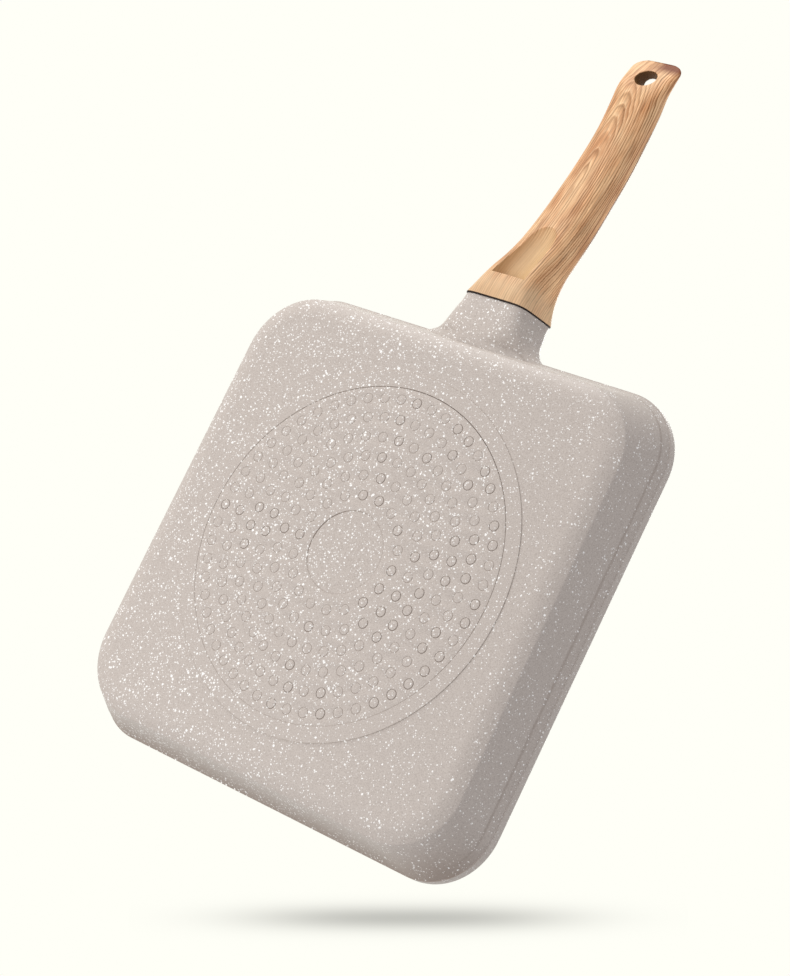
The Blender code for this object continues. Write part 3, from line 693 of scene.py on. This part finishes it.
# Moulded silicone: matt and nearly black, a little brown from dust.
silicone, tree, shader = new_material("dark_moulded_silicone", Roughness=0.6, IOR=1.41)
place = add_node(tree, "TexCoord").outputs["Object"]
dust = add_node(tree, "TexNoise", {"Vector": place, "Scale": 900.0, "Detail": 3.0})
tone = add_node(tree, "ValToRGB", {"Fac": dust}, stops=((0.0, linear("#241915")), (1.0, linear("#3D2D25"))))
dress(tree, shader, tone.outputs[0], dust, 0.3, 0.0001)
seal.data.materials.append(silicone)
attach(seal, "root")
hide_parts("neck_gasket")

# The screw and its washers: an M4 machine screw with a round head, a flat washer and a spring washer. They go in
# through the hanging hole and draw the grip onto the tenon. Zinc plating makes them a bright, cool grey.
zinc, tree, shader = new_material("zinc_plated_steel", Metallic=1.0, Roughness=0.32)
place = add_node(tree, "TexCoord").outputs["Object"]
grain = add_node(tree, "TexNoise", {"Vector": place, "Scale": 1200.0, "Detail": 4.0})
shade = add_node(tree, "ValToRGB", {"Fac": grain}, stops=((0.0, linear("#B4B4B8")), (1.0, linear("#D8D9DE"))))
tree.links.new(shade.outputs[0], shader.inputs["Base Color"])
wear = add_node(tree, "MapRange", {0: grain, 3: 0.22, 4: 0.45})
tree.links.new(wear.outputs[0], shader.inputs["Roughness"])
for name in ("handle_screw", "flat_washer", "spring_washer"):
    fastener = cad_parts[name]
    fastener.data.materials.clear()
    fastener.data.materials.append(zinc)

# The grip: moulded in one shot from phenolic resin round a socket for the tenon, then wrapped in a printed wood-grain
# film of honey oak and lacquered satin. A finger recess lies under its neck end and a hanging hole near its tip.
GRIP_LENGTH = 0.1783
GRIP_RINGS = 150
GRIP_SIDES = 176
GRIP_START = 0.00058
# Share of its length, half width, half thickness, rise over the joint's middle, taper, squareness
GRIP_STATIONS = (
    (0.000, 0.0244, 0.0148, 0.0000, 0.15, 6.0),
    (0.034, 0.0224, 0.0146, 0.0002, 0.17, 5.2),
    (0.073, 0.0210, 0.0140, 0.0013, 0.17, 4.5),
    (0.118, 0.0198, 0.0131, 0.0036, 0.16, 3.9),
    (0.174, 0.0183, 0.0123, 0.0080, 0.13, 3.5),
    (0.246, 0.0175, 0.0115, 0.0135, 0.09, 3.3),
    (0.347, 0.0170, 0.0109, 0.0193, 0.05, 3.2),
    (0.459, 0.0163, 0.0106, 0.0238, 0.03, 3.1),
    (0.583, 0.0157, 0.0103, 0.0279, 0.02, 3.1),
    (0.706, 0.0153, 0.0094, 0.0303, 0.00, 3.1),
    (0.818, 0.0160, 0.0079, 0.0302, 0.00, 3.1),
    (0.885, 0.0165, 0.0063, 0.0288, 0.00, 3.1),
)
TIP_START = 0.885
TIP_STEPS = 26
TIP_CORNER_LENGTH = 0.0068
TIP_CORNER_WIDTH = 0.0082
NOSE_LENGTH = 0.0280
NOSE_RISE = 0.0120
NOSE_POWER = 1.7
TIP_TOP_DROP = 0.0006
TIP_EDGE = 0.0005
RECESS_START = 0.0159
RECESS_LENGTH = 0.0395
RECESS_HALF_WIDTH = 0.0122
RECESS_END_HALF_WIDTH = 0.0100
RECESS_END_ROUND = 0.0105
RECESS_DEPTH = 0.0045
RECESS_END_DEPTH = 0.0012
RECESS_OUTSIDE = 0.0007
RECESS_FLARE = 1.08
RECESS_FULLNESS = 2.4
RECESS_LEAST_SHARE = 0.08
RECESS_RINGS = 60
RECESS_STEPS = 24
HOLE_HALF_WIDTH = 0.0067
HOLE_HALF_LENGTH = 0.0059
HOLE_NARROWING = 0.0019
HOLE_SIDES = 64
NEAR_EDGE = 0.98
SOCKET_PAST = 0.0006
BORE_LAP = 0.001
HEAD_DEPTH = 0.0140
COUNTERBORE_RADIUS = 0.0042
COUNTERBORE_LENGTH = 0.0152


def grip_middle(distance):
    """Half width, half thickness, height of the middle, taper and squareness at a distance from the joint."""
    half_width, half_thickness, rise, taper, squareness = smooth_between(
        GRIP_STATIONS, min(distance / GRIP_LENGTH, TIP_START)
    )
    return half_width, half_thickness, JOINT_MIDDLE + rise, taper, squareness


def grip_outline(distance):
    """Half width, underside, top, taper and squareness, with the tip's round corners and lifted nose."""
    half_width, half_thickness, middle, taper, squareness = grip_middle(distance)
    into_corner = max(0.0, distance - GRIP_LENGTH + TIP_CORNER_LENGTH) / TIP_CORNER_LENGTH
    into_nose = max(0.0, distance - GRIP_LENGTH + NOSE_LENGTH) / NOSE_LENGTH
    half_width -= TIP_CORNER_WIDTH * (1 - sqrt(max(0.0, 1 - min(into_corner, 1.0) ** 2)))
    underside = middle - half_thickness + NOSE_RISE * into_nose ** NOSE_POWER
    top = middle + half_thickness - TIP_TOP_DROP * into_corner ** 4
    underside = min(underside, top - TIP_EDGE)
    return half_width, underside, top, taper, squareness


def grip_form():
    """Outside of the grip, from the seal to the tip."""
    last = TIP_START * GRIP_LENGTH
    distances = list(np.linspace(GRIP_START, last, GRIP_RINGS))
    for angle in quarter_turns(TIP_STEPS)[1:]:
        distances.append(last + (GRIP_LENGTH - last) * sin(angle))
    rings = []
    for distance in distances:
        half_width, underside, top, taper, squareness = grip_outline(distance)
        rings.append(section(half_width, underside, top, JOINT_DISTANCE + distance, taper, squareness, GRIP_SIDES))
    return loft(rings)


def recess_form():
    """Scoop for a finger, deepest at its square end by the neck, with a round end far out."""
    rings = []
    for turn in quarter_turns(RECESS_RINGS):
        share = sin(turn)
        distance = RECESS_START + RECESS_LENGTH * share
        half_thickness, middle = grip_middle(distance)[1:3]
        surface = middle - half_thickness
        into_round = max(0.0, 1 - (1 - share) * RECESS_LENGTH / RECESS_END_ROUND)
        closing = sqrt(max(0.0, 1 - into_round ** 2))
        half_width = RECESS_HALF_WIDTH + (RECESS_END_HALF_WIDTH - RECESS_HALF_WIDTH) * share
        half_width *= max(closing, RECESS_LEAST_SHARE)
        depth = RECESS_DEPTH + (RECESS_END_DEPTH - RECESS_DEPTH) * share
        depth = (depth + GAP) * closing - GAP
        ring = []
        for angle in quarter_turns(RECESS_STEPS, 2):
            across = cos(angle) * RECESS_FLARE
            rise = (depth + RECESS_OUTSIDE) * (1 - abs(cos(angle)) ** RECESS_FULLNESS)
            ring.append((half_width * across, JOINT_DISTANCE + distance, surface - RECESS_OUTSIDE + rise))
        below = surface - 2 * RECESS_DEPTH
        ring.append((-half_width, JOINT_DISTANCE + distance, below))
        ring.append((half_width, JOINT_DISTANCE + distance, below))
        rings.append(ring)
    return loft(rings)


def hanging_hole_form():
    """Upright oval bar through the grip, narrower on the cooking side, with round edges where it meets the surface."""
    middle = JOINT_DISTANCE + HANG_HOLE_DISTANCE

    def surface(x, y, side):
        half_width, underside, upper, _, squareness = grip_outline(y - JOINT_DISTANCE)
        crown = (1 - min(abs(x) / half_width, NEAR_EDGE) ** squareness) ** (1 / squareness)
        return (underside + upper) / 2 + side * (upper - underside) / 2 * crown

    def ring(grow, depth, side):
        points = []
        for index in range(HOLE_SIDES):
            angle = 2 * pi * index / HOLE_SIDES
            narrowed = grow - HOLE_NARROWING * (side > 0)
            x = (HOLE_HALF_WIDTH + narrowed) * cos(angle)
            y = middle + (HOLE_HALF_LENGTH + narrowed) * sin(angle)
            points.append((x, y, surface(x, y, side) - side * depth))
        return points

    # How much wider than the bore, and how deep under the surface
    levels = ((0.0022, -0.0050), (0.0022, -0.0013), (0.00025, 0.00020), (0.00012, 0.00036), (0.00003, 0.00058))
    levels += ((0.0, 0.00090),)
    rings = [ring(grow, depth, -1) for grow, depth in levels]
    rings += [ring(grow, depth, 1) for grow, depth in reversed(levels)]
    return loft(rings)


grip = mesh_piece("grip", grip_form())
combine(grip, recess_form(), "DIFFERENCE")
combine(grip, tenon_form(-CUT_PAST, TENON_LENGTH + SOCKET_PAST, GAP), "DIFFERENCE", screw_axis)
head_seat = (HANG_HOLE_DISTANCE - HOLE_HALF_LENGTH) / cos(screw_rise) - HEAD_DEPTH
combine(grip, rod_form(SCREW_RADIUS + GAP, TENON_LENGTH - BORE_LAP, head_seat + BORE_LAP), "DIFFERENCE", screw_axis)
combine(grip, rod_form(COUNTERBORE_RADIUS, head_seat, head_seat + COUNTERBORE_LENGTH), "DIFFERENCE", screw_axis)
combine(grip, hanging_hole_form(), "DIFFERENCE")
soften(grip, 40.0)

# Where each corner of the grip's faces lies on the film: the way round the grip from the middle of its underside and
# the way along it from the joint, both in metres, and the way round as a share of half the girth.
FILM_STEP = 0.0004
FILM_MARKS = 480
CUT_LEAST = 0.0004
SCOOP_EDGE = 0.001
SCOOP_BELOW = 0.004
SCOOP_TURN = 0.2
FILMED_TIP = 0.003
mesh = grip.data
points = mesh_points(mesh)
outlines = {}
film = np.empty((len(mesh.loops), 3))
recess = np.zeros(len(mesh.polygons))
bare = np.zeros(len(mesh.polygons))
for polygon in mesh.polygons:
    corners = [mesh.loops[index].vertex_index for index in polygon.loop_indices]
    around = []
    for corner in corners:
        x, y, z = points[corner]
        distance = round((y - JOINT_DISTANCE) / FILM_STEP) * FILM_STEP
        distance = min(max(distance, 0.0), GRIP_LENGTH - FILM_STEP)
        if distance not in outlines:
            half_width, underside, top, taper, squareness = grip_outline(distance)
            ring = np.array(section(half_width, underside, top, 0.0, taper, squareness, FILM_MARKS))[:, (0, 2)]
            ring = np.roll(ring, FILM_MARKS // 4, axis=0)
            outlines[distance] = ring, np.hypot(*(np.roll(ring, -1, axis=0) - ring).T).sum()
        ring, girth = outlines[distance]
        nearest = int(np.argmin(np.hypot(ring[:, 0] - x, ring[:, 1] - z)))
        share = (nearest - FILM_MARKS * (nearest >= FILM_MARKS // 2)) / (FILM_MARKS // 2)
        around.append((share, girth / 2, y - JOINT_DISTANCE, hypot(*(ring[nearest] - (x, z)))))
    if max(a[0] for a in around) - min(a[0] for a in around) > 1:
        around = [(a[0] + 2 if a[0] < 0 else a[0], *a[1:]) for a in around]
    for index, (share, half_girth, distance, _) in zip(polygon.loop_indices, around):
        film[index] = (share * half_girth, distance, share)
    if max(a[3] for a in around) > CUT_LEAST:
        x, y, z = polygon.center
        along = y - JOINT_DISTANCE
        scooped = RECESS_START - SCOOP_EDGE < along < RECESS_START + RECESS_LENGTH + SCOOP_EDGE
        scooped = scooped and z < grip_middle(max(along, 0.0))[2] - SCOOP_BELOW and polygon.normal.z < SCOOP_TURN
        scooped = scooped and abs(x) < RECESS_HALF_WIDTH + SCOOP_EDGE
        recess[polygon.index] = float(scooped)
        bare[polygon.index] = float(not scooped and distance < GRIP_LENGTH - FILMED_TIP)
mesh.attributes.new("film", "FLOAT_VECTOR", "CORNER").data.foreach_set("vector", film.ravel())
mesh.attributes.new("recess", "FLOAT", "FACE").data.foreach_set("value", recess)
mesh.attributes.new("bare", "FLOAT", "FACE").data.foreach_set("value", bare)

# Printed oak film under satin lacquer: honey brown, with dark growth rings, fine fibres and a soft shine.
oak, tree, shader = new_material("oak_film_on_phenolic", Roughness=0.5, IOR=1.45, Specular_IOR_Level=0.22)
film_place = add_node(tree, "Attribute", attribute_name="film").outputs["Vector"]
round_grip, along_grip, share_round = add_node(tree, "SeparateXYZ", {0: film_place}).outputs
# The growth rings run along the grip 1.5 mm apart and close into arcs near its tip, a pale line beside each dark one.
RING_SPACING = 0.0015
along = add_node(tree, "MapRange", {0: along_grip, 1: 0.050, 2: 0.165})
steep = add_node(tree, "Math", {0: along, 1: 2.0}, "POWER")
across = add_node(tree, "Math", {0: round_grip, 1: 0.0035}, "SUBTRACT")
depth = add_node(tree, "Math", {0: steep, 1: 0.0130}, "MULTIPLY")
flat = add_node(tree, "CombineXYZ", {0: across, 1: depth})
radius = add_node(tree, "VectorMath", {0: flat}, "LENGTH")
wander = add_node(tree, "Mapping", {"Vector": film_place, "Scale": (110.0, 24.0, 0.0)})
wobble = add_node(tree, "TexNoise", {"Vector": wander, "Scale": 1.0, "Detail": 3.0, "Roughness": 0.55})
waved = add_node(tree, "Math", {0: wobble, 1: 0.0036, 2: radius.outputs["Value"]}, "MULTIPLY_ADD")
rings_at = add_node(tree, "Math", {0: waved, 1: 1 / RING_SPACING}, "MULTIPLY")
ring_part = add_node(tree, "Math", {0: rings_at}, "FRACT")
ring_number = add_node(tree, "Math", {0: rings_at}, "FLOOR")
own = add_node(tree, "TexWhiteNoise", {"W": ring_number}, noise_dimensions="1D")
own = add_node(tree, "MapRange", {0: own.outputs["Value"], 3: 0.25, 4: 1.0})


def greys(*levels):
    """Stops of a grey ramp from places and levels, the first and last place ahead of those between."""
    return [(place, (level, level, level, 1.0)) for place, level in levels]


# A dark line rises and falls over each ring, and a pale one lies where one ring ends and the next begins.
late = greys((0.0, 0.0), (1.0, 0.0), (0.40, 0.08), (0.60, 0.6), (0.72, 1.0), (0.84, 0.6), (0.92, 0.0))
late = add_node(tree, "ValToRGB", {"Fac": ring_part}, stops=late)
side_lines = add_node(tree, "MapRange", {0: round_grip, 1: 0.004, 2: -0.010, 3: 0.62, 4: 1.0})
line = add_node(tree, "Math", {0: late, 1: own}, "MULTIPLY")
line = add_node(tree, "Math", {0: line, 1: side_lines}, "MULTIPLY")
early = greys((0.0, 1.0), (0.3, 0.0), (0.9, 0.0), (0.96, 1.0))
early = add_node(tree, "ValToRGB", {"Fac": ring_part}, stops=early)
beside = add_node(tree, "Math", {0: early, 1: own}, "MULTIPLY")
beside = add_node(tree, "Math", {0: beside, 1: 0.5}, "MULTIPLY")
# Broad patches of browner wood, about 9 mm wide and 35 mm long.
broad = add_node(tree, "Mapping", {"Vector": film_place, "Scale": (130.0, 34.0, 0.0), "Location": (2.3, 0.7, 0.0)})
broad = add_node(tree, "TexNoise", {"Vector": broad, "Scale": 1.0, "Detail": 2.0})
browns = ((0.36, linear("#E7BA8B")), (0.68, linear("#C0875A")), (0.52, linear("#D9A678")))
ground = add_node(tree, "ValToRGB", {"Fac": broad}, stops=browns)
lined = add_node(tree, "Mix", {0: beside, 6: ground, 7: linear("#F0CFA4")}, data_type="RGBA")
lined = add_node(tree, "Mix", {0: line, 6: lined.outputs[2], 7: linear("#75481F")}, data_type="RGBA")
# Fibres and pores are streaks along the grain, about 0.8 mm wide and 22 mm long.
stretch = add_node(tree, "Mapping", {"Vector": film_place, "Scale": (1250.0, 45.0, 0.0)})
fibres = add_node(tree, "TexNoise", {"Vector": stretch, "Scale": 1.0, "Detail": 3.0, "Roughness": 0.65})
fibre_tone = add_node(tree, "MapRange", {0: fibres, 1: 0.3, 2: 0.7, 3: 0.62, 4: 1.30})
# Painted light: the film is a little paler on the -X side, which the lamps leave in shade.
painted_side_light = add_node(tree, "MapRange", {0: share_round, 1: -0.22, 2: -0.50, 3: 1.0, 4: 1.34})
fibre_tone = add_node(tree, "Math", {0: fibre_tone, 1: painted_side_light}, "MULTIPLY")
wood = add_node(
    tree, "Mix", {0: 1.0, 6: lined.outputs[2], 7: fibre_tone}, data_type="RGBA", blend_type="MULTIPLY"
).outputs[2]
# The print is paler by the joint. Painted shade darkens it in two lines along its edge on the -X side, and at that
# side of the tip, where the print itself is darker too.
pale = add_node(tree, "MapRange", {0: along_grip, 1: 0.009, 2: 0.019, 3: 0.50, 4: 0.0})
layers = [(pale, linear("#E0C49E"))]
out = add_node(tree, "MapRange", {0: along_grip, 1: 0.02, 2: 0.06})
# Painted shade: two dark lines along the -X edge, where the side of the grip turns away from the lamps.
for share, half_width, most, code in ((-0.60, 0.030, 0.9, "#52301B"), (-0.495, 0.012, 0.75, "#8A4B2C")):
    off = add_node(tree, "Math", {0: share_round, 1: share}, "SUBTRACT")
    off = add_node(tree, "Math", {0: off}, "ABSOLUTE")
    mark = add_node(tree, "MapRange", {0: off, 1: half_width / 3, 2: half_width, 3: most, 4: 0.0})
    mark = add_node(tree, "Math", {0: mark, 1: out}, "MULTIPLY")
    layers.append((mark, linear(code)))
# Painted shade at the -X side of the tip, where the nose faces away from the lamps, over a print that darkens there
# too.
end = add_node(tree, "MapRange", {0: along_grip, 1: 0.1690, 2: 0.1740})
corner = add_node(tree, "MapRange", {0: share_round, 1: 0.14, 2: -0.16, 4: 0.95})
tip_shade_and_print = add_node(tree, "Math", {0: end, 1: corner}, "MULTIPLY")
layers.append((tip_shade_and_print, linear("#74391C")))
# In the recess the film is stretched plain, with painted shade that darkens it towards the recess's +X wall, and
# inside the holes the bare dark plastic shows.
scooped = add_node(tree, "Attribute", attribute_name="recess").outputs["Fac"]
soft_tone = add_node(tree, "MapRange", {0: fibres, 1: 0.3, 2: 0.7, 3: 0.94, 4: 1.05})
recess_wall_shade = add_node(tree, "MapRange", {0: round_grip, 1: 0.010, 2: -0.002})
plain = add_node(tree, "Mix", {0: recess_wall_shade, 6: linear("#A2774A"), 7: linear("#C9A576")}, data_type="RGBA")
stretched = add_node(tree, "Mix", {0: 1.0, 6: plain.outputs[2], 7: soft_tone}, data_type="RGBA", blend_type="MULTIPLY")
inward = add_node(tree, "MapRange", {0: along_grip, 1: 0.040, 2: 0.056, 3: 0.85, 4: 0.25})
scooped = add_node(tree, "Math", {0: scooped, 1: inward}, "MULTIPLY").outputs[0]
layers.append((scooped, stretched.outputs[2]))
inner = add_node(tree, "Attribute", attribute_name="bare").outputs["Fac"]
layers.append((inner, linear("#6B4A2A")))
for mask, colour in layers:
    wood = add_node(tree, "Mix", {0: mask, 6: wood, 7: colour}, data_type="RGBA").outputs[2]
dress(tree, shader, wood, fibres, 0.15, 0.00004)
grip.data.materials.append(oak)
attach(grip, "root")
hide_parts("handle_grip")

# The studio: a white paper sweep lit by large soft boxes. The pan is photographed from below, so the floor shows only
# from above, and a soft patch of shade lies under the pan in the picture. The camera stands where the photo's did.
camera_data = bpy.data.cameras.new("photo_camera")
camera_data.lens = 82.82
camera_data.sensor_width = 36.0
camera_data.clip_end = 50.0
camera = put("photo_camera", camera_data)
right = Vector((-0.75782, 0.43359, 0.48755))
up = Vector((0.28278, 0.89168, -0.35347))
back = right.cross(up)
camera_place = Vector((-0.71987, -0.11438, -0.96177))
facing = Matrix((right, up, back)).transposed().to_4x4()
camera.matrix_world = Matrix.Translation(camera_place) @ facing
bpy.context.scene.camera = camera

# Paper all round lights the pan a little from every side, and shows as plain near-white behind it.
world = bpy.data.worlds.new("paper_white")
world.use_nodes = True
tree = world.node_tree
tree.nodes.clear()
rays = add_node(tree, "LightPath").outputs
seen = add_node(tree, "Math", {0: rays["Is Camera Ray"], 1: rays["Is Transmission Ray"]}, "MAXIMUM")
seen = add_node(tree, "Math", {0: seen, 1: rays["Is Glossy Ray"]}, "MAXIMUM")
lit = add_node(tree, "Background", {"Color": linear("#FAFAFF"), "Strength": 0.64})
paper = add_node(tree, "Background", {"Color": linear("#FFFFF7"), "Strength": 1.0})
both = add_node(tree, "MixShader", {0: seen, 1: lit, 2: paper})
add_node(tree, "OutputWorld", {"Surface": both})
bpy.context.scene.world = world

# Soft boxes in front, behind and over the handle's side, all aimed at the middle of the pan with its handle.
PAN_MIDDLE = 0.05
middle = Vector((0.0, PAN_MIDDLE, 0.02))
# Name, direction from the pan, distance and side of each soft box in metres, and power in watts
for name, direction, distance, side, power in (
    ("key_box", (0.40, 0.86, -0.28), 1.05, 0.6, 6.3),
    ("front_box", (0.45, -0.43, -0.78), 1.1, 0.7, 5.1),
    ("back_box", (0.20, 0.20, 0.96), 0.9, 0.6, 7.0),
):
    lamp_data = bpy.data.lights.new(name, "AREA")
    lamp_data.shape = "SQUARE"
    lamp_data.size = side
    lamp_data.energy = power
    lamp_data.color = linear("#FFFEFC")[:3]
    lamp = put(name, lamp_data)
    aim = Vector(direction).normalized()
    lamp.location = middle + aim * distance
    lamp.rotation_euler = aim.to_track_quat("Z", "Y").to_euler()


def shown_in_front(tree):
    """One for what the camera sees of a face's front, and none for its back and for all other light."""
    rays = add_node(tree, "LightPath")
    side = add_node(tree, "NewGeometry")
    front = add_node(tree, "Math", {0: 1.0, 1: side.outputs["Backfacing"]}, "SUBTRACT")
    return add_node(tree, "Math", {0: rays.outputs["Is Camera Ray"], 1: front}, "MULTIPLY")


# The floor is matt white paper seen from above, and clear from below.
FLOOR_RADIUS = 1.6
FLOOR_LEVEL = -0.0002
floor_bm = bmesh.new()
bmesh.ops.create_circle(floor_bm, cap_ends=True, segments=96, radius=FLOOR_RADIUS)
bmesh.ops.translate(floor_bm, verts=floor_bm.verts, vec=(0.0, PAN_MIDDLE, FLOOR_LEVEL))
floor = mesh_piece("floor", floor_bm)
if floor.data.polygons[0].normal.z < 0:
    floor.data.flip_normals()
paper_floor, tree, _ = new_material("paper_floor")
tree.nodes.clear()
clear = add_node(tree, "BsdfTransparent")
matt = add_node(tree, "BsdfDiffuse", {"Color": linear("#F4F4EE")})
both = add_node(tree, "MixShader", {0: shown_in_front(tree), 1: clear, 2: matt})
add_node(tree, "OutputMaterial", {"Surface": both})
floor.data.materials.append(paper_floor)

# The patch of shade is painted on a small sheet under the pan that faces the camera, clear but for the patch.
SHADE_HALF_LENGTH = 0.0744
SHADE_HALF_HEIGHT = 0.0041
SHADE_STRENGTH = 0.445
SHADE_SHEET = (0.13, 0.017, 1.0)
SHADE_DISTANCE = 1.0436
# Where the patch lies right of and under the picture's middle, and the camera's focal length, in pixels
SHADE_RIGHT, SHADE_UNDER, FOCAL_LENGTH = 13.0, 430.0, 2245.31
shade_bm = bmesh.new()
bmesh.ops.create_grid(shade_bm, x_segments=1, y_segments=1, size=1.0)
bmesh.ops.scale(shade_bm, verts=shade_bm.verts, vec=SHADE_SHEET)
shade_mesh = bpy.data.meshes.new("shade")
shade_bm.to_mesh(shade_mesh)
shade_bm.free()
shade = put("shade", shade_mesh)
aim = -back + right * (SHADE_RIGHT / FOCAL_LENGTH) - up * (SHADE_UNDER / FOCAL_LENGTH)
shade.matrix_world = Matrix.Translation(camera_place + SHADE_DISTANCE * aim) @ facing
painted, tree, _ = new_material("painted_shade")
tree.nodes.clear()
spot = add_node(tree, "SeparateXYZ", {0: add_node(tree, "TexCoord").outputs["Object"]})
reach = []
for channel, half, power in ((0, SHADE_HALF_LENGTH, 2.6), (1, SHADE_HALF_HEIGHT * sqrt(2), 2.0)):
    size = add_node(tree, "Math", {0: spot.outputs[channel]}, "ABSOLUTE")
    size = add_node(tree, "Math", {0: size, 1: half}, "DIVIDE")
    reach.append(add_node(tree, "Math", {0: size, 1: power}, "POWER").outputs[0])
reach = add_node(tree, "Math", {0: reach[0], 1: reach[1]}, "ADD")
reach = add_node(tree, "Math", {0: reach, 1: -1.0}, "MULTIPLY")
reach = add_node(tree, "Math", {0: reach}, "EXPONENT")
dark = add_node(tree, "Math", {0: reach, 1: shown_in_front(tree)}, "MULTIPLY")
dark = add_node(tree, "Math", {0: dark, 1: -SHADE_STRENGTH, 2: 1.0}, "MULTIPLY_ADD")
clear = add_node(tree, "BsdfTransparent", {0: dark})
add_node(tree, "OutputMaterial", {"Surface": clear})
shade.data.materials.append(painted)

bpy.context.scene.view_settings.view_transform = "Standard"
